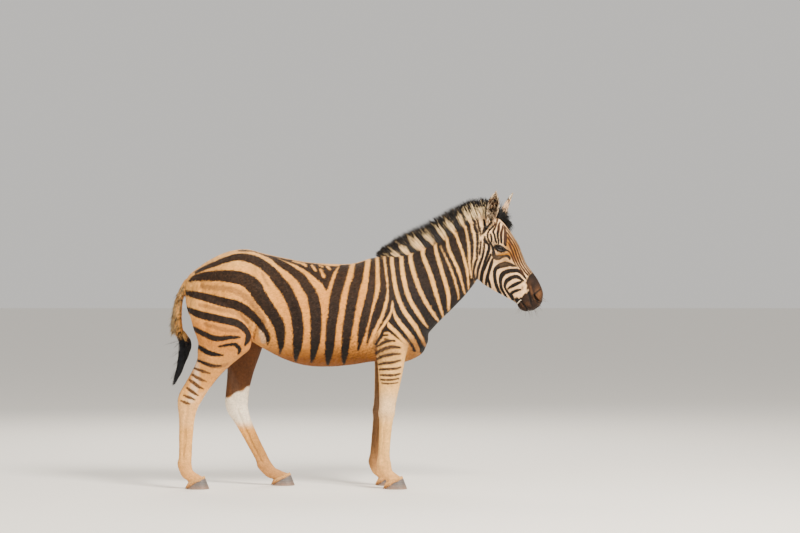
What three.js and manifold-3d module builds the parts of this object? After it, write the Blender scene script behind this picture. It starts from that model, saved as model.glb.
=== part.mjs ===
// A plains zebra standing still, life size, in millimetres. +X is forward, +Y the animal's left, +Z up.
// The hooves stand on z = 0. The body is lofted in a few long pieces, joined, and parted by thin cuts.
import * as THREE from "three";
import { mergeVertices } from "three/addons/utils/BufferGeometryUtils.js";
import Module from "manifold-3d";

const wasm = await Module();
wasm.setup();

// ---- driving sizes -------------------------------------------------------------------------------
const WITHERS_HEIGHT = 1260;
const CROUP_HEIGHT = 1296;
const BELLY_HEIGHT = 656; // lowest point of the belly
const BARREL_HALF = 227; // half the breadth of the body where it is widest
const STANCE_HALF = 118; // middle of each hoof from the middle plane
const CORONET_HEIGHT = 45; // middle of the hoof's slanted rim
const GAP = 0.3; // between touching pieces
const FAR = 3000; // past everything, for the boxes that cut
const LEFT = 1;
const RIGHT = -1;

// ---- helpers -------------------------------------------------------------------------------------
// A closed mesh as a manifold-3d solid.
function solid(geometry) {
  const bare = geometry.index ? geometry.toNonIndexed() : geometry.clone();
  bare.deleteAttribute("normal");
  bare.deleteAttribute("uv");
  const merged = mergeVertices(bare, 1e-3);
  return new wasm.Manifold(
    new wasm.Mesh({
      numProp: 3,
      vertProperties: new Float32Array(merged.attributes.position.array),
      triVerts: new Uint32Array(merged.index.array),
    }),
  );
}

const joined = (pieces) => pieces.reduce((a, b) => a.add(b));

// The largest closed surface of a solid, without loose scraps or sealed hollows.
function largest(made) {
  const bodies = made.decompose().filter((b) => b.volume() > 0);
  return bodies.reduce((a, b) => (b.volume() > a.volume() ? b : a));
}

function mesh(name, made, material) {
  const body = largest(made).getMesh();
  const geometry = new THREE.BufferGeometry();
  geometry.setAttribute("position", new THREE.BufferAttribute(new Float32Array(body.vertProperties), 3));
  geometry.setIndex(new THREE.BufferAttribute(new Uint32Array(body.triVerts), 1));
  geometry.computeVertexNormals();
  const node = new THREE.Mesh(geometry, material);
  node.name = name;
  return node;
}

// A Catmull-Rom reading of rows of numbers, at u rows from the first.
function rowAt(rows, u) {
  const last = rows.length - 1;
  const i = Math.min(Math.floor(u), last - 1);
  const t = u - i;
  const [p, a, b, q] = [i - 1, i, i + 1, i + 2].map((k) => rows[Math.min(Math.max(k, 0), last)]);
  return a.map((_, k) => {
    const bend = 2 * p[k] - 5 * a[k] + 4 * b[k] - q[k];
    const twist = 3 * a[k] - p[k] - 3 * b[k] + q[k];
    return a[k] + 0.5 * t * (b[k] - p[k] + t * (bend + t * twist));
  });
}

// A closed tube through rings of points, with a flat fan at each end.
function tube(rings) {
  const sides = rings[0].length;
  const points = rings.flat();
  const faces = [];
  for (let r = 0; r + 1 < rings.length; r++)
    for (let k = 0; k < sides; k++) {
      const [a, b] = [r * sides + k, r * sides + ((k + 1) % sides)];
      faces.push([a, b, b + sides], [a, b + sides, a + sides]);
    }
  for (const [ring, flip] of [[0, true], [rings.length - 1, false]]) {
    const middle = rings[ring].reduce((sum, p) => sum.add(p), new THREE.Vector3()).divideScalar(sides);
    points.push(middle);
    for (let k = 0; k < sides; k++) {
      const [a, b] = [ring * sides + k, ring * sides + ((k + 1) % sides)];
      faces.push(flip ? [b, a, points.length - 1] : [a, b, points.length - 1]);
    }
  }
  const geometry = new THREE.BufferGeometry().setFromPoints(points);
  geometry.setIndex(faces.flat());
  const made = solid(geometry);
  if (made.volume() > 0) return made;
  geometry.setIndex(faces.map(([a, b, c]) => [a, c, b]).flat());
  return solid(geometry);
}

// One ring of a loft. A section spans from one point of the side view (low) to another (high).
// It is widest at the share `wide` of the way, and the two powers round its low and high halves.
function ring([lowX, lowZ, highX, highZ, y, half, wide, lowPower, highPower], sides) {
  const points = [];
  for (let k = 0; k < sides; k++) {
    const angle = (2 * Math.PI * (k + 0.5)) / sides;
    const [c, s] = [Math.cos(angle), Math.sin(angle)];
    const power = 2 / (s < 0 ? lowPower : highPower);
    const along = s < 0 ? wide * (1 - Math.abs(s) ** power) : wide + (1 - wide) * s ** power;
    points.push(
      new THREE.Vector3(
        lowX + (highX - lowX) * along,
        y + half * Math.sign(c) * Math.abs(c) ** power,
        lowZ + (highZ - lowZ) * along,
      ),
    );
  }
  return points;
}

// rows of [lowX, lowZ, highX, highZ, y, half, wide, lowPower, highPower] become one closed tube.
function loft(rows, sides, perRow) {
  const count = (rows.length - 1) * perRow;
  return tube(Array.from({ length: count + 1 }, (_, i) => ring(rowAt(rows, i / perRow), sides)));
}

// A limb along its joints [x, y, z]: rows of [joint, ahead, behind, half] give the depth in front of and
// behind the line through the joints, and half the breadth, square to that line. It ends in the coronet,
// the slanted rim of the hoof.
const CORONET = { reach: 43, half: 37, rise: 15 };
const LEG_POWER = 2.2;
function limb(joints, rows, sides, perRow) {
  const sections = rows.map(([u, ahead, behind, half]) => {
    const [x, y, z] = rowAt(joints, u);
    const [x0, , z0] = rowAt(joints, Math.max(u - 0.25, 0));
    const [x1, , z1] = rowAt(joints, Math.min(u + 0.25, joints.length - 1));
    const length = Math.hypot(x1 - x0, z1 - z0);
    const [fx, fz] = [(z0 - z1) / length, (x1 - x0) / length];
    const [low, high] = [[x - fx * behind, z - fz * behind], [x + fx * ahead, z + fz * ahead]];
    return [...low, ...high, y, half, behind / (ahead + behind), LEG_POWER, LEG_POWER];
  });
  const [x, y, z] = joints[joints.length - 1];
  const end = [x - CORONET.reach, z - CORONET.rise, x + CORONET.reach, z + CORONET.rise];
  end.push(y, CORONET.half, 0.5, LEG_POWER, LEG_POWER);
  return { made: loft([...sections, end], sides, perRow), end };
}

function ellipsoid([x, y, z], [a, b, c], turn, segments) {
  const geometry = new THREE.SphereGeometry(1, segments, Math.round(segments / 2));
  geometry.scale(a, b, c);
  geometry.rotateY(turn);
  geometry.translate(x, y, z);
  return solid(geometry);
}

function box([x0, y0, z0], [x1, y1, z1]) {
  const geometry = new THREE.BoxGeometry(x1 - x0, y1 - y0, z1 - z0);
  geometry.translate((x0 + x1) / 2, (y0 + y1) / 2, (z0 + z1) / 2);
  return solid(geometry);
}

// All that lies ahead of a line that runs down the side view from a to b, less a strip of `shift`.
function ahead([[ax, az], [bx, bz]], shift) {
  const geometry = new THREE.BoxGeometry(FAR, FAR, FAR);
  geometry.translate(FAR / 2 + shift, 0, 0);
  geometry.rotateY(-Math.atan2(bx - ax, az - bz));
  geometry.translate((ax + bx) / 2, 0, (az + bz) / 2);
  return solid(geometry);
}

// ---- materials -----------------------------------------------------------------------------------
const material = (color, roughness) => new THREE.MeshStandardMaterial({ color, roughness, metalness: 0 });
const COAT = material(0xd9bd98, 0.9);
const HORN = material(0x6f6a6d, 0.6);
const EYE = material(0x1a100c, 0.1);

// ---- trunk ---------------------------------------------------------------------------------------
// From the dock to the breast: [x, belly, back, half breadth, share of the height where it is widest]
const TRUNK = [
  [-926, 1006, 1122, 26, 0.5],
  [-898, 926, 1166, 88, 0.5],
  [-800, 872, 1236, 158, 0.55],
  [-700, 846, 1282, 194, 0.58],
  [-600, 812, CROUP_HEIGHT, 205, 0.55],
  [-500, 755, 1273, 212, 0.5],
  [-390, 697, 1249, 222, 0.46],
  [-270, 662, 1227, BARREL_HALF, 0.44],
  [-140, BELLY_HEIGHT, 1217, 225, 0.43],
  [-20, 667, 1219, 216, 0.43],
  [90, 683, 1249, 194, 0.42],
  [185, 681, WITHERS_HEIGHT, 172, 0.42],
  [255, 680, 1222, 155, 0.42],
  [320, 702, 1122, 130, 0.45],
  [366, 737, 1002, 94, 0.5],
  [393, 800, 905, 44, 0.5],
];
const trunk = loft(
  TRUNK.map(([x, belly, back, half, wide]) => [x, belly, x, back, 0, half, wide, 2.3, 2]),
  20,
  2,
);

// ---- neck ----------------------------------------------------------------------------------------
// From the withers to the poll: [crest x, crest z, throat x, throat z, half breadth]
const NECK = [
  [87, 1215, 240, 790, 150],
  [153, 1250, 330, 795, 146],
  [207, 1259, 394, 838, 132],
  [267, 1269, 441, 888, 114],
  [327, 1290, 496, 943, 98],
  [392, 1316, 545, 992, 86],
  [458, 1346, 589, 1038, 76],
  [523, 1384, 627, 1085, 71],
  [583, 1426, 657, 1125, 68],
  [643, 1461, 681, 1165, 66],
  [700, 1479, 722, 1230, 62],
  [738, 1472, 752, 1290, 50],
];
const neckBody = loft(
  NECK.map(([cx, cz, tx, tz, half]) => [tx, tz, cx, cz, 0, half, 0.42, 2.2, 1.8]),
  20,
  2,
);

// ---- head ----------------------------------------------------------------------------------------
// From behind the cheek to the lips: [jaw x, jaw z, brow x, brow z, half breadth, widest, power of the jaw]
const HEAD = [
  [668, 1250, 738, 1472, 46, 0.5, 2],
  [652, 1158, 768, 1473, 66, 0.52, 2],
  [684, 1112, 800, 1450, 78, 0.58, 1.9],
  [722, 1086, 830, 1412, 84, 0.64, 1.8],
  [762, 1062, 862, 1363, 82, 0.66, 1.7],
  [800, 1042, 890, 1315, 72, 0.62, 1.7],
  [832, 1024, 908, 1268, 61, 0.58, 1.8],
  [858, 1010, 930, 1218, 52, 0.56, 2],
  [876, 995, 960, 1177, 47, 0.55, 2.2],
  [884, 978, 990, 1135, 47, 0.5, 2.3],
  [897, 965, 1012, 1090, 50, 0.48, 2.4],
  [918, 957, 1021, 1055, 49, 0.48, 2.4],
  [942, 958, 1016, 1015, 40, 0.5, 2.4],
  [964, 962, 1002, 986, 20, 0.5, 2],
];
const headRows = (inset) =>
  HEAD.map(([jx, jz, bx, bz, half, wide, power]) => [jx, jz, bx, bz, 0, half - inset, wide, power, 2.6]);
const headBody = loft(headRows(0), 20, 2);

const EYE_RADIUS = 21;
const EYE_PLACE = { x: 782, out: 67, z: 1300 };
const LID = 4.5; // thickness of the lids over the eyeball
const LID_OPENING = { length: 42, height: 25, lean: -0.45, depth: 60 };
const BROW = { ahead: 2, inward: 8, above: 10, size: [44, 30, 30], turn: 0.7 };
const NOSTRIL = { rim: [974, 36, 1034], hole: [978, 52, 1029], turn: 0.95 };
const NOSTRIL_SIZE = { rim: [34, 18, 18], hole: [25, 13, 7.5] };
const eyeAt = (side) => [EYE_PLACE.x, side * EYE_PLACE.out, EYE_PLACE.z];

// The slit between the lids: two arcs that meet in the corners, run outwards from the eyeball.
function slit(side) {
  const { length, height, lean, depth } = LID_OPENING;
  const outline = new THREE.Shape();
  outline.moveTo(-length / 2, 0);
  outline.quadraticCurveTo(0, height, length / 2, 0);
  outline.quadraticCurveTo(0, -height * 0.8, -length / 2, 0);
  const geometry = new THREE.ExtrudeGeometry(outline, { depth, bevelEnabled: false, curveSegments: 5 });
  geometry.rotateZ(lean);
  geometry.rotateX(side > 0 ? -Math.PI / 2 : Math.PI / 2);
  const [x, y, z] = eyeAt(side);
  geometry.translate(x, y + side * LID, z);
  return solid(geometry);
}

const eyeball = (side, grown) => ellipsoid(eyeAt(side), Array(3).fill(EYE_RADIUS + grown), 0, 14);
const EYE_SLACK = 0.4; // between the eyeball and the flesh round it
function withFace(body) {
  let face = body;
  for (const side of [LEFT, RIGHT]) {
    const [x, y, z] = eyeAt(side);
    const brow = [x + BROW.ahead, y - side * BROW.inward, z + BROW.above];
    const [rim, hole] = [NOSTRIL.rim, NOSTRIL.hole].map(([nx, ny, nz]) => [nx, side * ny, nz]);
    face = face.add(ellipsoid(brow, BROW.size, BROW.turn, 12));
    face = face.add(eyeball(side, LID));
    face = face.add(ellipsoid(rim, NOSTRIL_SIZE.rim, NOSTRIL.turn, 10));
    face = face.subtract(slit(side));
    face = face.subtract(eyeball(side, EYE_SLACK));
    face = face.subtract(ellipsoid(hole, NOSTRIL_SIZE.hole, NOSTRIL.turn, 10));
  }
  return face;
}

// The line of the mouth: a thin slab from its corner to the lips, kept to the outer flesh.
const MOUTH_CORNER = [888, 1018];
const MOUTH_FRONT = [952, 944];
const MOUTH_GAP = 3;
const MOUTH_DEPTH = 8;
function mouthLine() {
  const [dx, dz] = [MOUTH_FRONT[0] - MOUTH_CORNER[0], MOUTH_FRONT[1] - MOUTH_CORNER[1]];
  const geometry = new THREE.BoxGeometry(Math.hypot(dx, dz), FAR, MOUTH_GAP);
  geometry.rotateY(-Math.atan2(dz, dx));
  geometry.translate(MOUTH_CORNER[0] + dx / 2, 0, MOUTH_CORNER[1] + dz / 2);
  return solid(geometry).subtract(loft(headRows(MOUTH_DEPTH), 16, 1));
}

// ---- ears ----------------------------------------------------------------------------------------
// A leaf rolled to a cup: [share of the height, half breadth, depth] from the burr to the tip
const EAR_HEIGHT = 182;
const EAR = [
  [-0.12, 21, 22],
  [0, 23, 25],
  [0.18, 29, 30],
  [0.4, 36, 27],
  [0.62, 34, 21],
  [0.82, 22, 14],
  [0.94, 11, 8],
  [1, 3, 3],
];
const EAR_WALL = 4.5;
// The ear's hollow: the share of the height where it starts, and its shift towards the open side.
const EAR_CUP = { from: 0.13, shift: 16 };
function earShell(inset, lift, shift) {
  const rows = EAR.map(([share, half, depth]) => [
    -Math.max(depth - inset, 1) + shift,
    share * EAR_HEIGHT * (1 - lift) + lift * EAR_HEIGHT,
    Math.max(depth - inset, 1) + shift,
    share * EAR_HEIGHT * (1 - lift) + lift * EAR_HEIGHT,
    0,
    Math.max(half - inset, 1),
    0.5,
    2,
    2,
  ]);
  return loft(rows, 14, 1);
}
// An ear stands on its root, turned so that its cup faces `facing` and tipped by `forward` and `out`.
function placed(shell, { root, facing, forward, out }) {
  const place = new THREE.Matrix4()
    .makeTranslation(...root)
    .multiply(new THREE.Matrix4().makeRotationX(out))
    .multiply(new THREE.Matrix4().makeRotationY(forward))
    .multiply(new THREE.Matrix4().makeRotationZ(facing));
  return shell.transform(place.elements);
}
const earCup = earShell(EAR_WALL, EAR_CUP.from, EAR_CUP.shift);
const earWhole = (ear) => placed(earShell(0, 0, 0).subtract(earCup), ear);
const earClear = (ear) => placed(earShell(-2 * GAP, 0, 0), ear);
const EARS = {
  right: { root: [726, -50, 1432], facing: -1.35, forward: 0.215, out: 0.14 },
  left: { root: [784, 48, 1440], facing: -0.1, forward: 0.44, out: -0.16 },
};
const EAR_CUT = 1448; // height of the cut between an ear and its burr

// ---- legs ----------------------------------------------------------------------------------------
const foot = (side, joints) => joints.map(([x, spread, z]) => [x, side * spread, z]);
const FORE_JOINTS = {
  right: foot(RIGHT, [
    [175, 92, 1090],
    [198, 116, 900],
    [190, 118, 730],
    [171, 112, 425],
    [156, 116, 135],
    [209, STANCE_HALF, CORONET_HEIGHT],
  ]),
  left: foot(LEFT, [
    [175, 92, 1090],
    [190, 116, 900],
    [174, 118, 730],
    [137, 112, 425],
    [109, 116, 130],
    [164, STANCE_HALF, CORONET_HEIGHT],
  ]),
};
const HIND_JOINTS = {
  right: foot(RIGHT, [
    [-735, 100, 1090],
    [-733, 110, 880],
    [-766, 118, 710],
    [-893, 112, 482],
    [-922, 116, 136],
    [-860, STANCE_HALF, CORONET_HEIGHT],
  ]),
  left: foot(LEFT, [
    [-720, 100, 1090],
    [-690, 110, 880],
    [-634, 118, 700],
    [-652, 112, 448],
    [-505, 116, 118],
    [-408, STANCE_HALF, CORONET_HEIGHT],
  ]),
};
// [joint, ahead, behind, half breadth] down the leg
const FORE_ROWS = [
  [0, 60, 70, 30],
  [0.5, 115, 105, 52],
  [1, 130, 100, 66],
  [1.6, 98, 92, 66],
  [2, 84, 78, 58],
  [2.4, 70, 62, 48],
  [2.75, 52, 50, 39],
  [2.93, 45, 47, 37],
  [3.06, 44, 49, 38],
  [3.2, 36, 41, 31],
  [3.5, 32, 36, 25],
  [3.8, 32, 36, 26],
  [4, 37, 45, 31],
  [4.3, 33, 38, 29],
  [4.52, 33, 31, 30],
];
const HIND_ROWS = [
  [0, 120, 120, 52],
  [0.5, 160, 170, 84],
  [1, 174, 152, 92],
  [1.5, 178, 120, 84],
  [1.75, 142, 106, 72],
  [2, 102, 98, 61],
  [2.25, 80, 76, 51],
  [2.5, 74, 64, 42],
  [2.75, 70, 61, 37],
  [2.95, 64, 68, 36],
  [3.1, 52, 66, 36],
  [3.3, 38, 46, 29],
  [3.6, 37, 33, 24],
  [3.85, 37, 34, 25],
  [4, 37, 43, 31],
  [4.3, 33, 38, 29],
  [4.52, 33, 31, 30],
];
const limbs = {
  foreleg_right: limb(FORE_JOINTS.right, FORE_ROWS, 14, 1),
  foreleg_left: limb(FORE_JOINTS.left, FORE_ROWS, 14, 1),
  hindleg_right: limb(HIND_JOINTS.right, HIND_ROWS, 14, 1),
  hindleg_left: limb(HIND_JOINTS.left, HIND_ROWS, 14, 1),
};

// A hoof continues its leg's last section, spreads to the sole and stands flat on z = 0.
const HOOF_SPREAD = { toe: 27, heel: 9, half: 11 };
// [share of the way down, share of the spread] from the coronet to the sole
const HOOF_ROWS = [
  [0, 0],
  [0.12, 0.3],
  [0.5, 0.6],
  [0.93, 1],
  [1, 0.96],
];
function hoof([lowX, lowZ, highX, highZ, y, half]) {
  const row = ([drop, spread]) => {
    const mix = (z) => z * (1 - drop);
    return [
      lowX - HOOF_SPREAD.heel * spread,
      mix(lowZ - GAP),
      highX + HOOF_SPREAD.toe * spread,
      mix(highZ - GAP),
      y,
      half + HOOF_SPREAD.half * spread,
      0.5,
      2.4,
      2.2,
    ];
  };
  return loft(HOOF_ROWS.map(row), 20, 1);
}

// ---- tail ----------------------------------------------------------------------------------------
// [x, z, half depth, half breadth] down the tail's line
const TAIL = [
  [-880, 1130, 24, 26],
  [-912, 1118, 24, 24],
  [-940, 1080, 20, 20],
  [-958, 1030, 19, 19],
  [-967, 975, 20, 20],
  [-970, 915, 22, 22],
  [-964, 862, 24, 24],
  [-945, 812, 21, 20],
  [-937, 760, 17, 16],
  [-946, 692, 9, 9],
  [-968, 630, 4, 4],
  [-990, 575, 3, 3],
  [-999, 552, 3, 3],
];
const TAIL_CORE = 10; // rows that the closed part takes, half way down the tuft
function tailBody() {
  const rows = TAIL.map(([x, z, depth, half], i) => {
    const [before, after] = [TAIL[Math.max(i - 1, 0)], TAIL[Math.min(i + 1, TAIL.length - 1)]];
    const length = Math.hypot(after[0] - before[0], after[1] - before[1]);
    const [fx, fz] = [(before[1] - after[1]) / length, (after[0] - before[0]) / length];
    return [x - fx * depth, z - fz * depth, x + fx * depth, z + fz * depth, 0, half, 0.5, 2, 2];
  });
  const core = rows.slice(0, TAIL_CORE);
  return loft(core, 12, 2);
}

// ---- hair ----------------------------------------------------------------------------------------
// A repeatable random number from 0 to 1.
let seed = 7;
function random() {
  seed = (seed * 16807) % 2147483647;
  return seed / 2147483647;
}
const vary = (middle, share) => middle * (1 + share * (2 * random() - 1));

// A flat lock that tapers to its tip: it leaves `root` along `way`, is pulled aside by `bend` at its tip,
// and is broad along `across`.
const LOCK_STEPS = 4;
function lock({ root, way, bend, across, width, thick }) {
  const rings = [];
  for (let i = 0; i <= LOCK_STEPS; i++) {
    const t = i / LOCK_STEPS;
    const at = root.clone().addScaledVector(way, t).addScaledVector(bend, t * t);
    const along = way.clone().addScaledVector(bend, 2 * t).normalize();
    const flat = across.clone().addScaledVector(along, -across.dot(along)).normalize();
    const thin = along.clone().cross(flat);
    const swell = (0.75 + 0.5 * t) * (1 - 0.92 * t ** 2.4);
    const [w, h] = [Math.max((width / 2) * swell, 0.9), Math.max((thick / 2) * swell, 0.5)];
    rings.push([[w, 0], [0, h], [-w, 0], [0, -h]].map(([a, b]) =>
      at.clone().addScaledVector(flat, a).addScaledVector(thin, b)));
  }
  return tube(rings);
}

// ---- mane ----------------------------------------------------------------------------------------
// Evenly along the crest from the withers to the poll: [length of the hair, lean back, in radians]
const MANE = [
  [45, 0.95],
  [88, 0.88],
  [122, 0.77],
  [134, 0.7],
  [132, 0.62],
  [122, 0.51],
  [112, 0.37],
  [104, 0.12],
];
const MANE_FROM = 0.06; // share of the crest where it starts
const MANE_ROOT = 26; // how deep the hair is rooted in the neck
const MANE_HALF = 15;
const MANE_CORE = 0.45; // share of the hair's length that is closed
const MANE_LOCK = { perRow: 21, width: 50, thick: 13, tilt: 0.09 };
// Root, direction and length of the mane's hair at t, from 0 at the withers to 1 at the poll.
function hairAt(t) {
  const u = (MANE_FROM + (1 - MANE_FROM) * t) * (NECK.length - 1);
  const [x, z] = rowAt(NECK, u);
  const [length, lean] = rowAt(MANE, t * (MANE.length - 1));
  return { x, z, length, dx: -Math.sin(lean), dz: Math.cos(lean) };
}
function maneCore() {
  const rows = MANE.map((_, i) => {
    const { x, z, dx, dz, length } = hairAt(i / (MANE.length - 1));
    const top = length * MANE_CORE;
    return [x - dx * MANE_ROOT, z - dz * MANE_ROOT, x + dx * top, z + dz * top, 0, MANE_HALF, 0.3, 2, 1.4];
  });
  return loft(rows, 10, 2);
}
function maneLocks() {
  const locks = [];
  for (const row of [-1, 0, 1])
    for (let i = 0; i < MANE_LOCK.perRow; i++) {
      const t = Math.min((i + 0.5 + 0.33 * row + 0.3 * random()) / MANE_LOCK.perRow, 1);
      const { x, z, dx, dz, length } = hairAt(t);
      const reach = MANE_ROOT + vary(length, 0.05);
      const out = row * vary(MANE_LOCK.tilt, 0.4);
      locks.push(
        lock({
          root: new THREE.Vector3(x - dx * MANE_ROOT, row * 4, z - dz * MANE_ROOT),
          way: new THREE.Vector3(dx, out, dz).multiplyScalar(reach),
          bend: new THREE.Vector3(vary(-6, 1), vary(2, 3), 0),
          across: new THREE.Vector3(dz, 0.15 * row, -dx),
          width: vary(MANE_LOCK.width, 0.15),
          thick: MANE_LOCK.thick,
        }),
      );
    }
  return joined(locks);
}
const mane = maneCore().add(maneLocks());

// ---- forelock ------------------------------------------------------------------------------------
// A tuft between the ears that rises from the poll and falls forward over the brow.
const FORELOCK = { rows: 4, across: 3, spread: 17, width: 30, thick: 11, root: 8 };
// The rearmost and the foremost row: where it grows, how far it rises, and how its tips are pulled.
const FORELOCK_REAR = { at: [742, 1462], way: [32, 116], bend: [16, -22] };
const FORELOCK_FRONT = { at: [806, 1436], way: [66, 54], bend: [-22, -64] };
function forelock() {
  const locks = [];
  for (let i = 0; i < FORELOCK.rows; i++)
    for (let k = 0; k < FORELOCK.across; k++) {
      const t = i / (FORELOCK.rows - 1);
      const side = (k - (FORELOCK.across - 1) / 2) * FORELOCK.spread;
      const between = (key) =>
        FORELOCK_REAR[key].map((value, n) => value + (FORELOCK_FRONT[key][n] - value) * t);
      const [[x, z], [wayX, wayZ], [bendX, bendZ]] = ["at", "way", "bend"].map(between);
      locks.push(
        lock({
          root: new THREE.Vector3(x, side, z - FORELOCK.root),
          way: new THREE.Vector3(wayX, side / 2, wayZ).multiplyScalar(vary(1, 0.07)),
          bend: new THREE.Vector3(bendX, side / 4, bendZ),
          across: new THREE.Vector3(0.8, 0.7, -0.2),
          width: vary(FORELOCK.width, 0.15),
          thick: FORELOCK.thick,
        }),
      );
    }
  return joined(locks);
}

// ---- tail tuft -----------------------------------------------------------------------------------
// Long locks leave the lower dock all round and hang along the tail's line to its tip.
const TUFT = { from: 6.4, to: 9.4, count: 20, width: 26, thick: 10, spread: 17 };
function tuftLocks() {
  const locks = [];
  for (let i = 0; i < TUFT.count; i++) {
    const t = i / (TUFT.count - 1);
    const u = TUFT.from + (TUFT.to - TUFT.from) * t;
    const end = Math.min(u + vary(3.2, 0.15), TAIL.length - 1);
    const [x0, z0] = rowAt(TAIL, u);
    const [xm, zm] = rowAt(TAIL, (u + end) / 2);
    const [x1, z1] = rowAt(TAIL, end);
    const turn = i * 2.4;
    const [ox, oy] = [Math.cos(turn) * TUFT.spread, Math.sin(turn) * TUFT.spread];
    const bend = new THREE.Vector3(x0 + x1 - 2 * xm - 0.5 * ox, -0.5 * oy, z0 + z1 - 2 * zm);
    bend.multiplyScalar(2);
    locks.push(
      lock({
        root: new THREE.Vector3(x0 + ox * 0.3, oy * 0.3, z0),
        way: new THREE.Vector3(x1 - x0 + 0.9 * ox, 0.9 * oy, z1 - z0).sub(bend),
        bend,
        across: new THREE.Vector3(-Math.sin(turn), Math.cos(turn), 0),
        width: vary(TUFT.width, 0.2),
        thick: TUFT.thick,
      }),
    );
  }
  return joined(locks);
}

// ---- parting the body ----------------------------------------------------------------------------
const POLL_CUT = [[722, 1540], [640, 1140]]; // head from neck
const WITHERS_CUT = [[40, 1300], [420, 800]]; // neck from trunk
const TAIL_CUT = { x: -905, bottom: 1050 };
const FORE_CUT = { back: 84, front: 306, top: 716, inner: 42 };
const HIND_CUT = { front: -540, top: 818 };
const UNDER_BELLY = { top: 648, middle: -60 }; // below this height all flesh is leg

const earSolids = { right: earWhole(EARS.right), left: earWhole(EARS.left) };
const aboveCut = box([-FAR, -FAR, EAR_CUT + GAP], [FAR, FAR, FAR]);
const belowCut = box([-FAR, -FAR, -FAR], [FAR, FAR, EAR_CUT]);
const burrs = Object.values(earSolids).map((ear) => ear.intersect(belowCut));
const legs = Object.values(limbs).map((leg) => leg.made);
const flesh = joined([trunk, neckBody, headBody, ...burrs, ...legs]);

const neckNode = flesh.add(mane).intersect(ahead(WITHERS_CUT, GAP)).subtract(ahead(POLL_CUT, 0));
const aroundEars = joined(Object.values(EARS).map(earClear)).subtract(belowCut);
const headNode = withFace(flesh.add(forelock()).intersect(ahead(POLL_CUT, GAP)))
  .subtract(mouthLine())
  .subtract(aroundEars);

// All flesh on one side of the middle plane between two lengths and two heights.
function sideBox(side, inner, [x0, z0], [x1, z1]) {
  return side > 0 ? box([x0, inner, z0], [x1, FAR, z1]) : box([x0, -FAR, z0], [x1, -inner, z1]);
}
// The room that a leg is cut from: a block where it joins the trunk, and all that is lower.
function legRegion(name, grow) {
  const side = name.endsWith("left") ? LEFT : RIGHT;
  const fore = name.startsWith("fore");
  const block = fore ? FORE_CUT : { back: -FAR, inner: GAP / 2, ...HIND_CUT };
  const low = fore ? [UNDER_BELLY.middle, FAR] : [-FAR, UNDER_BELLY.middle];
  const inner = fore ? block.inner - grow : block.inner - Math.min(grow, block.inner * 2);
  return sideBox(side, inner, [block.back - grow, -FAR], [block.front + grow, block.top + grow]).add(
    sideBox(side, inner, [low[0], -FAR], [low[1], UNDER_BELLY.top + grow]),
  );
}
const tail = tailBody().add(tuftLocks());
const behindDock = box([-FAR, -FAR, TAIL_CUT.bottom], [TAIL_CUT.x + GAP, FAR, FAR]);
let torsoNode = flesh.subtract(ahead(WITHERS_CUT, 0)).add(tail.subtract(behindDock)).subtract(behindDock);
for (const name of Object.keys(limbs)) torsoNode = torsoNode.subtract(legRegion(name, GAP));

const zebra = new THREE.Group();
zebra.add(mesh("torso", torsoNode, COAT));
zebra.add(mesh("neck", neckNode, COAT));
zebra.add(mesh("head", headNode, COAT));
for (const [name, { made, end }] of Object.entries(limbs)) {
  zebra.add(mesh(name, flesh.intersect(legRegion(name, 0)), COAT));
  zebra.add(mesh(name.replace("leg", "hoof"), hoof(end), HORN));
}
for (const [name, made] of Object.entries(earSolids))
  zebra.add(mesh("ear_" + name, made.intersect(aboveCut), COAT));
for (const [name, side] of [["right", RIGHT], ["left", LEFT]])
  zebra.add(mesh("eye_" + name, eyeball(side, 0), EYE));
zebra.add(mesh("tail", tail.intersect(box([-FAR, -FAR, 0], [TAIL_CUT.x, FAR, FAR])), COAT));

export default zebra;
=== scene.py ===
import math

import bmesh
import bpy
import numpy as np
from mathutils import Matrix, Vector


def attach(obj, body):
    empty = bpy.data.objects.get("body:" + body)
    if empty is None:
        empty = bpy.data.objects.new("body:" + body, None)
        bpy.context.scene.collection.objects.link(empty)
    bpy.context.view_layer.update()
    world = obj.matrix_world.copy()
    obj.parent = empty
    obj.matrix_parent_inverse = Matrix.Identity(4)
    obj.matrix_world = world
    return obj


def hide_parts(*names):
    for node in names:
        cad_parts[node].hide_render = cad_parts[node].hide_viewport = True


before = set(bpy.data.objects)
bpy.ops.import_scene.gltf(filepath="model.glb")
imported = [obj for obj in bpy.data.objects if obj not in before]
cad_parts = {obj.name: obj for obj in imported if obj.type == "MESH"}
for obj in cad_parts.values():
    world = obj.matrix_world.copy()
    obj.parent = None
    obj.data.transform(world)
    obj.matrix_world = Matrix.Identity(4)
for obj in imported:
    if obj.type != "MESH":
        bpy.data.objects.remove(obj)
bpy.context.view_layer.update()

# ---- Skin over the flesh ----
# The body of a plains zebra under its coat: trunk, neck, head, dock and four legs in one unbroken skin.
# It is muscle and fat over bone, with the skin drawn tight on head and legs and loose at the flank.
# It is modelled as a museum body is: long forms run together, smoothed, and then the muscles worked in.
MM = 0.001  # sizes are in millimetres and the scene is in metres
SKIN_GRAIN = 4.5  # side of the cells that the forms are run together in
COAT_DEPTH = 2.5  # how far the skin lies inside the outer face of the coat
INSET = {"trunk": 2.0, "neck": 2.0}  # trunk and neck lie a little nearer to it

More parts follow.
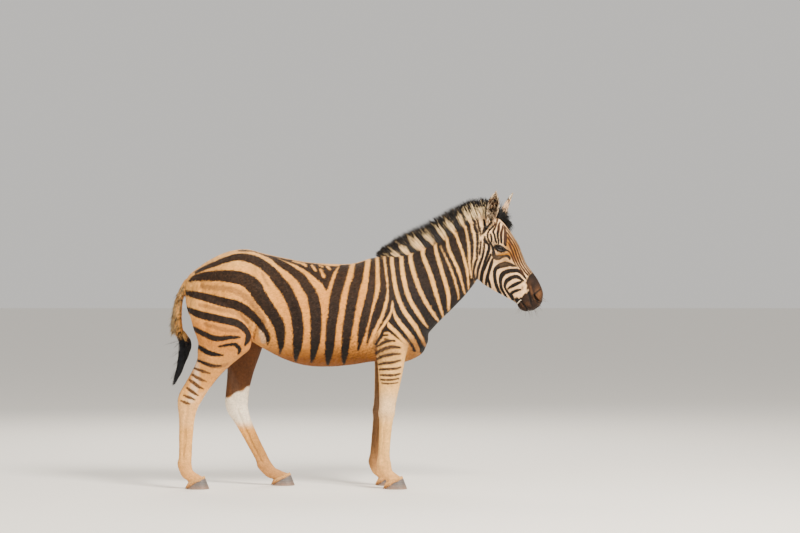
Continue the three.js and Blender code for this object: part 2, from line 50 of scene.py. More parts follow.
# [x, belly, back, half breadth, share of the height where it is widest], from the dock to the breast
TRUNK = [
    [-926, 1006, 1122, 26, 0.5], [-898, 926, 1166, 88, 0.5], [-800, 872, 1236, 158, 0.55],
    [-700, 846, 1282, 194, 0.58], [-600, 812, 1296, 205, 0.55], [-500, 755, 1273, 212, 0.5],
    [-390, 697, 1249, 222, 0.46], [-270, 662, 1227, 227, 0.44], [-140, 656, 1217, 225, 0.43],
    [-20, 667, 1219, 216, 0.43], [90, 683, 1249, 194, 0.42], [185, 681, 1260, 172, 0.42],
    [255, 680, 1222, 155, 0.42], [320, 702, 1122, 130, 0.45], [366, 737, 1002, 94, 0.5],
    [393, 800, 905, 44, 0.5],
]
# [crest x, crest z, throat x, throat z, half breadth], from the withers to the poll
NECK = [
    [87, 1215, 240, 790, 150], [153, 1250, 330, 795, 146], [207, 1259, 394, 838, 132],
    [267, 1269, 441, 888, 114], [327, 1290, 496, 943, 98], [392, 1316, 545, 992, 86],
    [458, 1346, 589, 1038, 76], [523, 1384, 627, 1085, 71], [583, 1426, 657, 1125, 68],
    [643, 1461, 681, 1165, 66], [700, 1479, 722, 1230, 62], [738, 1472, 752, 1290, 50],
]
# [jaw x, jaw z, brow x, brow z, half breadth, widest, power of the jaw], from behind the cheek to the lips
HEAD = [
    [668, 1250, 738, 1472, 46, 0.5, 2], [652, 1158, 768, 1473, 66, 0.52, 2],
    [684, 1112, 800, 1450, 78, 0.58, 1.9], [722, 1086, 830, 1412, 84, 0.64, 1.8],
    [762, 1062, 862, 1363, 82, 0.66, 1.7], [800, 1042, 890, 1315, 72, 0.62, 1.7],
    [832, 1024, 908, 1268, 61, 0.58, 1.8], [858, 1010, 930, 1218, 52, 0.56, 2],
    [876, 995, 960, 1177, 47, 0.55, 2.2], [884, 978, 990, 1135, 47, 0.5, 2.3],
    [897, 965, 1012, 1090, 50, 0.48, 2.4], [918, 957, 1021, 1055, 49, 0.48, 2.4],
    [942, 958, 1016, 1015, 40, 0.5, 2.4], [964, 962, 1002, 986, 20, 0.5, 2],
]
# Joints [x, spread, z] of the right (-1) and the left (1) leg, from shoulder or hip to the coronet.
STANCE_HALF = 118
FORE_JOINTS = {
    -1: [[175, 92, 1090], [198, 116, 900], [190, 118, 730], [171, 112, 425], [156, 116, 135],
         [209, STANCE_HALF, 45]],
    1: [[175, 92, 1090], [190, 116, 900], [174, 118, 730], [137, 112, 425], [109, 116, 130],
        [164, STANCE_HALF, 45]],
}
HIND_JOINTS = {
    -1: [[-735, 100, 1090], [-733, 110, 880], [-766, 118, 710], [-893, 112, 482], [-922, 116, 136],
         [-860, STANCE_HALF, 45]],
    1: [[-720, 100, 1090], [-690, 110, 880], [-634, 118, 700], [-652, 112, 448], [-505, 116, 118],
        [-408, STANCE_HALF, 45]],
}
# Down each leg: [joint, reach ahead of it, reach behind, half breadth]
FORE_ROWS = [
    [0, 60, 70, 30], [0.5, 115, 105, 52], [1, 130, 100, 66], [1.6, 98, 92, 66], [2, 84, 78, 58],
    [2.4, 70, 62, 48], [2.75, 52, 50, 39], [2.93, 45, 47, 37], [3.06, 44, 49, 38], [3.2, 36, 41, 31],
    [3.5, 32, 36, 25], [3.8, 32, 36, 26], [4, 37, 45, 31], [4.3, 33, 38, 29], [4.52, 33, 31, 30],
]
HIND_ROWS = [
    [0, 120, 120, 52], [0.5, 160, 170, 84], [1, 174, 152, 92], [1.5, 178, 120, 84],
    [1.75, 142, 106, 72], [2, 102, 98, 61], [2.25, 80, 76, 51], [2.5, 74, 64, 42], [2.75, 70, 61, 37],
    [2.95, 64, 68, 36], [3.1, 52, 66, 36], [3.3, 44, 46, 29], [3.6, 42, 35, 24], [3.85, 40, 34, 25],
    [4, 37, 43, 31], [4.3, 33, 38, 29], [4.52, 33, 31, 30],
]
CORONET = {"reach": 43, "half": 37, "rise": 15}  # the hoof's upper rim, which slants up to the front
# [x, z, half depth, half breadth] down the dock, as far as the hair's core goes
DOCK = [
    [-880, 1130, 24, 26], [-912, 1118, 24, 24], [-940, 1080, 20, 20], [-958, 1030, 19, 19],
    [-967, 975, 20, 20], [-970, 915, 22, 22], [-964, 862, 22, 22], [-945, 812, 17, 16],
    [-937, 760, 12, 12], [-946, 692, 7, 7],
]


def row_at(rows, u):
    """A smooth reading of rows of numbers, at u rows from the first."""
    rows = np.asarray(rows, float)
    last = len(rows) - 1
    i = np.minimum(np.floor(u).astype(int), last - 1)
    t = (u - i)[:, None]
    p, a, b, q = (rows[np.clip(i + k, 0, last)] for k in (-1, 0, 1, 2))
    return a + 0.5 * t * (b - p + t * (2 * p - 5 * a + 4 * b - q + t * (3 * a - p - 3 * b + q)))


def evenly(rows, count):
    """So many smooth readings of rows of numbers, from the first row to the last."""
    return row_at(rows, np.linspace(0, len(rows) - 1, count))


def curve_of(rows, per_row=6):
    """Rows drawn as a smooth curve, read so many times from each row to the next."""
    return evenly(rows, (len(rows) - 1) * per_row + 1)


def leg_sections(joints, rows, side):
    """Sections square to the line through a leg's joints, ending in the slanted rim of the hoof."""
    made = []
    for u, ahead, behind, half in rows:
        x, y, z = row_at(joints, np.array([u]))[0]
        x0, _, z0 = row_at(joints, np.array([max(u - 0.25, 0)]))[0]
        x1, _, z1 = row_at(joints, np.array([min(u + 0.25, len(joints) - 1)]))[0]
        length = math.hypot(x1 - x0, z1 - z0)
        fx, fz = (z0 - z1) / length, (x1 - x0) / length
        made.append([x - fx * behind, z - fz * behind, x + fx * ahead, z + fz * ahead,
                     side * y, half, behind / (ahead + behind), 2.2, 2.2])
    x, y, z = joints[-1]
    made.append([x - CORONET["reach"], z - CORONET["rise"], x + CORONET["reach"],
                 z + CORONET["rise"], side * y, CORONET["half"], 0.5, 2.2, 2.2])
    return made


def dock_sections():
    made = []
    for i, (x, z, depth, half) in enumerate(DOCK):
        before, after = DOCK[max(i - 1, 0)], DOCK[min(i + 1, len(DOCK) - 1)]
        length = math.hypot(after[0] - before[0], after[1] - before[1])
        fx, fz = (before[1] - after[1]) / length, (after[0] - before[0]) / length
        made.append([x - fx * depth, z - fz * depth, x + fx * depth, z + fz * depth, 0, half, 0.5, 2, 2])
    return made


# Each form is rows of [low x, low z, high x, high z, y, half breadth, widest, low power, high power].
# A power of 2 rounds that half of the section as an ellipse, and a higher one makes it squarer.
FORMS = {
    "trunk": [[x, belly, x, back, 0, half, wide, 2.3, 2] for x, belly, back, half, wide in TRUNK],
    "neck": [[tx, tz, cx, cz, 0, half, 0.42, 2.2, 1.8] for cx, cz, tx, tz, half in NECK],
    "head": [[jx, jz, bx, bz, 0, half, wide, power, 2.6] for jx, jz, bx, bz, half, wide, power in HEAD],
    "dock": dock_sections(),
    "fore_right": leg_sections(FORE_JOINTS[-1], FORE_ROWS, -1),
    "fore_left": leg_sections(FORE_JOINTS[1], FORE_ROWS, 1),
    "hind_right": leg_sections(HIND_JOINTS[-1], HIND_ROWS, -1),
    "hind_left": leg_sections(HIND_JOINTS[1], HIND_ROWS, 1),
}


def rings_of(sections, sides, inset):
    """The points round each section, drawn in by the inset."""
    low, high = sections[:, None, 0:2], sections[:, None, 2:4]
    y, half, wide, low_power, high_power = (sections[:, None, k] for k in range(4, 9))
    angle = 2 * np.pi * (np.arange(sides) + 0.5) / sides
    c, s = np.cos(angle)[None], np.sin(angle)[None]
    power = np.where(s < 0, 2 / low_power, 2 / high_power)
    reach = np.abs(s) ** power
    along = np.where(s < 0, wide * (1 - reach), wide + (1 - wide) * reach)
    depth = np.linalg.norm(high - low, axis=2)
    along = 0.5 + (along - 0.5) * (1 - 2 * inset / np.maximum(depth, 4 * inset))
    place = low + (high - low) * along[..., None]
    out = y + np.maximum(half - inset, 1) * np.sign(c) * np.abs(c) ** power
    return np.stack([place[..., 0], out, place[..., 1]], axis=2) * MM


def tube_of(rings):
    """Vertices and faces of a closed tube through rings, which run the same way round."""
    count, sides = rings.shape[:2]
    points = rings.reshape(-1, 3).tolist()
    faces = [[r * sides + k, r * sides + (k + 1) % sides, (r + 1) * sides + (k + 1) % sides,
              (r + 1) * sides + k] for r in range(count - 1) for k in range(sides)]
    faces += [list(range(sides))[::-1], list(range((count - 1) * sides, count * sides))]
    return points, faces


def placed_piece(name, made):
    piece = bpy.data.objects.new(name, made)
    bpy.context.collection.objects.link(piece)
    return piece


def put(name, points, faces):
    mesh = bpy.data.meshes.new(name)
    mesh.from_pydata(points, [], faces)
    return placed_piece(name, mesh)


def joined_tubes(name, tubes):
    """One piece of closed tubes, each given by its rings."""
    points, faces = [], []
    for rings in tubes:
        p, f = tube_of(rings)
        faces += [[i + len(points) for i in face] for face in f]
        points += p
    return put(name, points, faces)


def egg(middle, semi, turn=0.0, rows=24):
    """Rings of an egg-shaped lump, turned about the y axis."""
    t = np.linspace(0.02, np.pi - 0.02, rows)[:, None]
    a = 2 * np.pi * np.arange(2 * rows)[None] / (2 * rows)
    p = np.stack([np.sin(t) * np.cos(a) * semi[0], np.sin(t) * np.sin(a) * semi[1],
                  np.cos(t) * semi[2] + 0 * a], axis=2)
    c, s = math.cos(turn), math.sin(turn)
    p = np.stack([p[..., 0] * c + p[..., 2] * s, p[..., 1], p[..., 2] * c - p[..., 0] * s], axis=2)
    return (p + np.array(middle)) * MM


def applied(piece, kind, **settings):
    """Adds a modifier and makes its result the piece's own mesh."""
    step = piece.modifiers.new(kind.lower(), kind)
    for key, value in settings.items():
        setattr(step, key, value)
    seen = piece.evaluated_get(bpy.context.evaluated_depsgraph_get())
    made = bpy.data.meshes.new_from_object(seen)
    old = piece.data
    piece.modifiers.clear()
    piece.data = made
    bpy.data.meshes.remove(old)


def worked(mesh, change):
    """Makes a change to a mesh's own faces and edges."""
    work = bmesh.new()
    work.from_mesh(mesh)
    change(work)
    work.to_mesh(mesh)
    work.free()


def turn_outwards(work):
    bmesh.ops.recalc_face_normals(work, faces=work.faces)


def refine_head(work):
    """Halves the edges of the head, which is worked finer than the body."""
    ends = [(e, e.verts[0].co) for e in work.edges]
    edges = [e for e, co in ends if co.x > 0.66 and co.z + 0.3 * co.x > 1.2]
    bmesh.ops.subdivide_edges(work, edges=edges, cuts=1, use_grid_fill=True)


EYE = {"x": 782, "out": 67, "z": 1300, "radius": 21, "lean": -0.45, "length": 42, "height": 25}
LID = 2.5  # thickness of the lids over the eye
SOCKET = {"ahead": 2, "sunk": 9, "above": 10, "semi": (42, 28, 28), "lean": 0.7}  # its bony rim
NOSTRIL = {"x": 977, "z": 1031, "long": 23, "tall": 6.5, "lean": 0.95, "deep": 15}
NOSE_WING = {"x": 974, "out": 35, "z": 1034, "semi": (32, 17, 16), "lean": 0.95}
MOUTH = {"line": [[888, 1018], [904, 1000], [930, 970], [952, 944]], "deep": 5.5, "half": 2.4}
lumps = [rings_of(curve_of(rows), 64, INSET.get(name, COAT_DEPTH)) for name, rows in FORMS.items()]
for side in (-1, 1):
    rim = (EYE["x"] + SOCKET["ahead"], side * (EYE["out"] - SOCKET["sunk"]), EYE["z"] + SOCKET["above"])
    lumps.append(egg(rim, SOCKET["semi"], SOCKET["lean"]))
    lumps.append(egg((EYE["x"], side * EYE["out"], EYE["z"]), [EYE["radius"] + LID] * 3))
    wing = (NOSE_WING["x"], side * NOSE_WING["out"], NOSE_WING["z"])
    lumps.append(egg(wing, NOSE_WING["semi"], NOSE_WING["lean"]))
skin = joined_tubes("skin", lumps)
worked(skin.data, turn_outwards)
applied(skin, "REMESH", mode="VOXEL", voxel_size=SKIN_GRAIN * MM)
applied(skin, "SMOOTH", factor=0.5, iterations=7)
worked(skin.data, refine_head)


def read(mesh):
    """Places and normals of a mesh's vertices, the places in millimetres."""
    count = len(mesh.vertices)
    places, normals = np.empty(count * 3, np.float32), np.empty(count * 3, np.float32)
    mesh.vertices.foreach_get("co", places)
    mesh.vertex_normals.foreach_get("vector", normals)
    return places.reshape(-1, 3).astype(float) / MM, normals.reshape(-1, 3).astype(float)


def write(mesh, places):
    mesh.vertices.foreach_set("co", (places * MM).astype(np.float32).ravel())
    mesh.update()


def smooth(low, high, value):
    """0 at `low` and beyond it, 1 at `high` and beyond it, and an even passage between."""
    t = np.clip((value - low) / (high - low), 0, 1)
    return t * t * (3 - 2 * t)


def reach_to(line, flat):
    """Distance from each point of the side view to a line, and how far along it, from 0 to 1."""
    a, b = line[:-1, :2], line[1:, :2]
    run = b - a
    t = ((flat[:, None] - a) * run).sum(2) / (run ** 2).sum(1)
    t = np.clip(t, 0, 1)
    away = np.linalg.norm(flat[:, None] - a - t[..., None] * run, axis=2)
    nearest = away.argmin(1)
    rows = np.arange(len(flat))
    return away[rows, nearest], (nearest + t[rows, nearest]) / len(a)


# Swellings and hollows of the body's side: [line in the side view, half breadth, height]
MUSCLES = {
    "shoulder blade": ([[205, 1190], [270, 1060], [335, 940]], 34, 5),
    "hollow behind the shoulder": ([[95, 1130], [95, 990], [118, 850]], 34, -7),
    "triceps": ([[190, 960], [165, 880]], 62, 7),
    "point of the shoulder": ([[338, 925], [352, 890]], 30, 8),
    "elbow": ([[118, 800], [112, 770]], 22, 7),
    "jugular groove": ([[408, 905], [500, 1010], [610, 1130]], 15, -5),
    "neck muscle": ([[330, 1130], [470, 1240], [600, 1340]], 55, 4),
    "hollow before the neck's root": ([[262, 1170], [330, 1080]], 24, -4),
    "hip bone": ([[-500, 1205], [-520, 1185]], 30, 6),
    "flank hollow": ([[-455, 1140], [-440, 1060]], 50, -8),
    "fold of the flank": ([[-478, 915], [-508, 862], [-522, 800]], 15, 9),
    "groove before the thigh": ([[-535, 905], [-545, 862], [-556, 806]], 8, -6),
    "hollow over the fold": ([[-470, 960], [-545, 900]], 24, -5),
    "thigh": ([[-700, 1040], [-680, 900]], 90, 6),
    "thigh's rear groove": ([[-838, 1120], [-815, 960], [-800, 800]], 15, -5),
    "stifle": ([[-596, 830], [-612, 790]], 28, 7),
    "patella": ([[-640, 752], [-650, 728]], 14, 4),
    "hock's point": ([[-944, 520], [-950, 492]], 14, 4),
    "last rib": ([[-330, 1120], [-300, 960], [-230, 790]], 22, 3),
}


def swell(flat, line, breadth, height):
    """The rise of a swelling, highest on its line and fading away from it."""
    away, _ = reach_to(curve_of(line), flat)
    return height * np.exp(-((away / breadth) ** 2))


# Tendons stand clear of the bone behind each cannon, and behind each gaskin:
# [joints, from and to which joint, how far behind them, half breadth of the groove]
TENDONS = [
    (FORE_JOINTS, (3.12, 3.95), 7, 7), (HIND_JOINTS, (3.1, 3.95), 7, 7), (HIND_JOINTS, (2.2, 2.9), 26, 11),
]
TENDON_GROOVE = -4
places, normals = read(skin.data)
outward = np.clip(normals[:, 1] * np.sign(places[:, 1]), 0, 1)
rise = np.zeros(len(places))
for line, breadth, height in MUSCLES.values():
    (x0, z0), (x1, z1) = np.min(line, 0) - 3 * breadth, np.max(line, 0) + 3 * breadth
    near = (places[:, 0] > x0) & (places[:, 0] < x1) & (places[:, 2] > z0) & (places[:, 2] < z1)
    rise[near] += swell(places[near][:, [0, 2]], line, breadth, height) * outward[near]
for side in (-1, 1):
    near = (places[:, 1] * side > 0) & (places[:, 2] < 720)
    for joints, stretch, behind, breadth in TENDONS:
        line = row_at(joints[side], np.linspace(*stretch, 8))[:, [0, 2]] - [behind, 0]
        groove = swell(places[near][:, [0, 2]], line, breadth, TENDON_GROOVE)
        rise[near] += groove * np.abs(normals[near, 1])
write(skin.data, places + normals * rise[:, None])

# The face: cheek, crest below the eye, hollows, lips, chin, nostrils and the lids round the eye.
FACE = {
    "cheek": ([[728, 1240], [738, 1160], [762, 1110]], 42, 3.5),
    "groove before the cheek": ([[818, 1205], [826, 1140], [815, 1072]], 9, -2.5),
    "crest of the cheekbone": ([[800, 1262], [842, 1216], [872, 1182]], 8, 3.5),
    "hollow over the crest": ([[868, 1262], [905, 1190], [930, 1130]], 15, -3.5),
    "temple": ([[752, 1392], [768, 1368]], 20, -5),
    "brow": ([[748, 1322], [775, 1338], [806, 1330], [824, 1306]], 8, 3),
    "crease of the upper lid": ([[757, 1318], [778, 1327], [800, 1318], [815, 1300]], 2.6, -1.8),
    "crease of the lower lid": ([[755, 1288], [775, 1274], [800, 1272], [816, 1283]], 3, -1.6),
    "hollow below the eye": ([[748, 1292], [770, 1258], [812, 1258]], 9, -2),
    "upper lip": ([[915, 1015], [945, 985], [972, 962]], 10, 2.5),
    "lower lip": ([[900, 985], [925, 958]], 9, 2.5),
    "corner of the mouth": ([[884, 1024], [893, 1012]], 9, 2.2),
    "nose's wing": ([[948, 1062], [962, 1050]], 10, 2),
    "groove behind the nostril": ([[936, 1092], [940, 1040], [950, 1010]], 6, -2.2),
    "jaw's edge": ([[748, 1092], [800, 1062], [850, 1032]], 8, 1.5),
}
places, normals = read(skin.data)
outward = np.clip(1.6 * normals[:, 1] * np.sign(places[:, 1]), 0, 1)
rise = np.zeros(len(places))
on_head = (places[:, 0] > 655) & (places[:, 2] > 900)
flat = places[on_head][:, [0, 2]]
for line, breadth, height in FACE.values():
    rise[on_head] += swell(flat, line, breadth, height) * outward[on_head]
away, share = reach_to(curve_of(MOUTH["line"]), flat)
rise[on_head] -= MOUTH["deep"] * np.exp(-((away / MOUTH["half"]) ** 2)) * smooth(0, 0.04, share)
front = smooth(0.0, 0.5, normals[on_head][:, 0]) * smooth(1180, 1090, flat[:, 1])
rise[on_head] -= 1.2 * front * np.exp(-((places[on_head][:, 1] / 5) ** 2))  # groove of the upper lip
write(skin.data, places + normals * rise[:, None])


def turned(flat, x, z, lean):
    """Side-view points along and across a line through (x, z) that leans by an angle."""
    c, s = math.cos(lean), math.sin(lean)
    dx, dz = flat[:, 0] - x, flat[:, 1] - z
    return dx * c + dz * s, dz * c - dx * s


# The skin parts between the lids and sinks into each nostril, which has a raised rim.
LID_GAP_DEEP = 11
places, normals = read(skin.data)
side = np.sign(places[:, 1])
outward = normals[:, 1] * side
along, across = turned(places[:, [0, 2]], EYE["x"], EYE["z"], EYE["lean"])
lid_line = 0.5 * EYE["height"] * np.where(across > 0, 1.0, 0.8) * (1 - (2 * along / EYE["length"]) ** 2)
inside = smooth(-0.6, 1.4, np.where(np.abs(along) < EYE["length"] / 2, lid_line - np.abs(across), -1))
inside *= (outward > 0.2) & (places[:, 2] > 1200)
places[:, 1] -= side * LID_GAP_DEEP * inside
along, across = turned(places[:, [0, 2]], NOSTRIL["x"], NOSTRIL["z"], -NOSTRIL["lean"])
ring = (along / NOSTRIL["long"]) ** 2 + ((across - 0.011 * along ** 2) / NOSTRIL["tall"]) ** 2
hole = smooth(1.25, 0.55, ring) * (outward > -0.1) * (places[:, 0] > 930) * (np.abs(places[:, 1]) > 20)
rim = np.exp(-((np.sqrt(ring) - 1.55) / 0.35) ** 2) * (places[:, 0] > 930) * (outward > 0.1)
places[:, 1] -= side * NOSTRIL["deep"] * hole
places += normals * (2.2 * rim * (1 - hole))[:, None]
write(skin.data, places)


def soften_breast(work):
    """The breast is one soft fold down to the forelegs: creases left by the joining are rubbed out."""
    fold = [v for v in work.verts if 0.33 < v.co.x < 0.5 and 0.8 < v.co.z < 0.97]
    for _ in range(30):
        bmesh.ops.smooth_vert(work, verts=fold, factor=0.5, use_axis_x=True, use_axis_y=True, use_axis_z=True)


worked(skin.data, soften_breast)

# -- The skin's markings --
# The stripes grow in the hair itself: black or brown hair on a ground of cream, tan and white.
# Each stripe is a line of [x, z, breadth] in the side view. The left side's turn a little their own way.
DARK = {
    "rump": [[-872, 1169, 12], [-818, 1196, 20], [-755, 1220, 25], [-714, 1236, 29], [-644, 1253, 35],
        [-582, 1245, 43], [-533, 1227, 48], [-462, 1174, 54], [-425, 1126, 61], [-392, 1088, 62],
        [-354, 1022, 61], [-324, 932, 61], [-316, 856, 58], [-319, 774, 49], [-326, 725, 31], [-330, 681, 4]],
    "haunch first": [[-905, 1123, 11], [-861, 1142, 38], [-741, 1150, 57], [-621, 1136, 70],
        [-554, 1091, 79], [-533, 1053, 74], [-471, 966, 63], [-420, 877, 60], [-409, 779, 33],
        [-417, 725, 3]],
    "haunch second": [[-972, 1066, 19], [-937, 1060, 24], [-850, 1041, 39], [-741, 1012, 47],
        [-632, 982, 48], [-550, 919, 40], [-496, 850, 27], [-480, 812, 22], [-482, 779, 5]],
    "haunch third": [[-965, 985, 16], [-926, 973, 20], [-850, 939, 38], [-741, 914, 39], [-643, 889, 38],
        [-591, 839, 27], [-591, 801, 25], [-605, 774, 8]],
    "haunch fourth": [[-930, 886, 14], [-888, 867, 16], [-850, 845, 25], [-768, 809, 27], [-687, 815, 19],
        [-632, 816, 6]],
    "stifle": [[-747, 766, 7], [-670, 777, 16], [-646, 766, 19], [-635, 747, 19], [-643, 725, 6]],
    "thigh": [[-910, 796, 12], [-872, 774, 12], [-839, 752, 22], [-807, 733, 24], [-768, 722, 19],
        [-725, 718, 5]],
    "low thigh": [[-885, 700, 8], [-856, 687, 9], [-817, 670, 15], [-779, 660, 15], [-736, 660, 5]],
    "gaskin first": [[-892, 652, 8], [-877, 646, 8], [-839, 632, 13], [-796, 619, 4]],
    "gaskin second": [[-894, 613, 8], [-856, 591, 15], [-817, 575, 4]],
    "gaskin third": [[-907, 583, 8], [-883, 566, 15], [-856, 545, 13], [-831, 535, 4]],
    "gaskin fourth": [[-921, 540, 8], [-894, 520, 15], [-861, 499, 5]],
    "gaskin fifth": [[-937, 499, 8], [-905, 486, 13], [-877, 475, 4]],
    "hock": [[-954, 469, 7], [-926, 458, 11], [-905, 452, 4]],
    "loin": [[-640, 1287, 4], [-575, 1288, 8], [-540, 1282, 9], [-519, 1274, 10], [-491, 1263, 12],
        [-464, 1253, 15]],
    "barrel first": [[-462, 1256, 13], [-436, 1236, 27], [-401, 1212, 35], [-366, 1191, 39],
        [-332, 1166, 43], [-299, 1138, 49], [-271, 1096, 54], [-246, 1058, 57], [-232, 1020, 60],
        [-220, 937, 61], [-220, 848, 58], [-225, 775, 47], [-236, 714, 27], [-245, 676, 4]],
    "barrel second": [[-49, 1226, 44], [-62, 1203, 49], [-88, 1124, 58], [-111, 1041, 57], [-124, 952, 56],
        [-136, 869, 53], [-143, 775, 49], [-151, 712, 35], [-155, 659, 4]],
    "barrel third": [[27, 1237, 49], [22, 1213, 51], [9, 1140, 53], [-10, 1074, 56], [-27, 986, 54],
        [-43, 890, 53], [-53, 817, 47], [-60, 754, 39], [-65, 703, 26], [-68, 665, 4]],
    "barrel fourth": [[93, 1270, 22], [93, 1248, 22], [89, 1172, 33], [82, 1074, 41], [58, 965, 45],
        [32, 856, 43], [11, 741, 3]],
    "square": [[149, 827, 7], [172, 828, 7]],
    "below the square": [[154, 807, 5], [174, 806, 5]],
    "barrel fifth": [[135, 1275, 19], [135, 1253, 19], [142, 1172, 27], [148, 1074, 36], [120, 965, 44],
        [80, 856, 25], [59, 779, 3]],
}
# Neck and shoulder are one dark field, and the pale stripes are cut in it.
COLLAR = [
    [158, 1292], [162, 1226], [168, 1177], [174, 1128], [177, 1074], [173, 1003], [158, 954], [142, 910],
    [116, 856], [100, 820], [93, 785], [112, 768], [122, 783], [145, 815], [153, 839], [161, 845],
    [180, 842], [202, 827], [223, 810], [247, 790], [265, 782], [283, 766], [300, 747], [316, 735],
    [338, 741], [360, 725], [374, 744], [403, 779], [425, 800], [470, 880], [650, 1100], [637, 1150],
    [631, 1166], [632, 1186], [634, 1208], [637, 1236], [642, 1268], [643, 1331], [635, 1378],
    [629, 1397], [624, 1434], [622, 1458], [620, 1490], [616, 1560], [458, 1620], [150, 1380],
]
# So is the dark saddle on the loins, with small pale bars and a fleck in it.
SADDLE = [
    [-469, 1261], [-409, 1239], [-338, 1213], [-272, 1177], [-218, 1134], [-185, 1106], [-162, 1067],
    [-152, 1085], [-136, 1128], [-120, 1172], [-93, 1203], [-158, 1206], [-240, 1221], [-327, 1236],
    [-398, 1254],
]
# Where the bare dark muzzle begins, from the bridge of the nose round the lips to the chin.
MUZZLE_EDGE = [
    [962, 1175], [952, 1162], [943, 1156], [934, 1143], [928, 1129], [922, 1114], [930, 1093], [933, 1072],
    [927, 1056], [912, 1051], [908, 1040], [896, 1033], [888, 1026], [874, 1036], [863, 1024], [864, 1006],
    [874, 992], [877, 954],
]
# The pale stripes in both fields.
PALE = {
    "withers": [[195, 1290, 16], [195, 1262, 17], [197, 1210, 19], [216, 1085, 20], [253, 976, 22],
        [327, 867, 24], [379, 768, 16]],
    "second": [[245, 1300, 18], [245, 1267, 19], [256, 1155, 22], [289, 1030, 23], [354, 921, 21],
        [392, 867, 9]],
    "third": [[304, 1310, 19], [302, 1281, 19], [297, 1237, 21], [327, 1128, 23], [373, 1019, 23],
        [431, 929, 20], [452, 899, 9]],
    "fourth": [[372, 1330, 22], [371, 1305, 22], [365, 1264, 23], [406, 1155, 26], [436, 1052, 25],
        [469, 948, 16], [478, 915, 12]],
    "fifth": [[418, 1360, 20], [428, 1335, 20], [441, 1264, 22], [474, 1155, 23], [502, 1052, 24],
        [504, 965, 16]],
    "sixth": [[458, 1313, 6], [512, 1199, 13], [550, 1085, 14], [559, 1025, 9]],
    "seventh": [[486, 1400, 19], [493, 1373, 19], [507, 1292, 19], [556, 1183, 19], [589, 1068, 13],
        [596, 1040, 10]],
    "eighth": [[530, 1430, 19], [534, 1406, 19], [578, 1281, 17], [606, 1172, 17], [613, 1079, 11]],
    "ninth": [[583, 1470, 16], [589, 1450, 16], [605, 1370, 14], [615, 1308, 17], [617, 1262, 16],
        [617, 1230, 15], [620, 1194, 13], [624, 1166, 12], [631, 1140, 9]],
    "shoulder rear": [[199, 1010, 5], [198, 986, 13], [191, 954, 12], [178, 924, 14], [166, 905, 15],
        [149, 880, 13], [134, 859, 13], [120, 834, 20], [106, 809, 20], [101, 788, 11]],
    "shoulder front": [[199, 978, 7], [211, 941, 16], [223, 916, 20], [243, 887, 23], [264, 862, 24],
        [287, 834, 25], [305, 807, 26], [322, 780, 24], [338, 747, 23]],
    "shoulder third": [[175, 897, 5], [182, 878, 21], [199, 862, 20], [220, 843, 20], [240, 820, 19],
        [257, 801, 19], [278, 779, 17], [300, 752, 16]],
    "shoulder fourth": [[156, 837, 10], [172, 837, 11], [191, 823, 15], [210, 809, 16], [234, 790, 19]],
    "shoulder fifth": [[150, 817, 8], [174, 816, 9], [196, 807, 11]],
    "saddle first": [[-345, 1230, 4], [-310, 1222, 6], [-292, 1214, 8]],
    "saddle second": [[-288, 1217, 12], [-274, 1205, 13]],
    "saddle middle": [[-241, 1207, 9], [-229, 1193, 14], [-219, 1179, 11]],
    "saddle fleck": [[-199, 1206, 6], [-180, 1200, 6]],
    "saddle third": [[-194, 1185, 12], [-177, 1147, 16]],
    "saddle fourth": [[-158, 1201, 11], [-142, 1186, 12]],
}
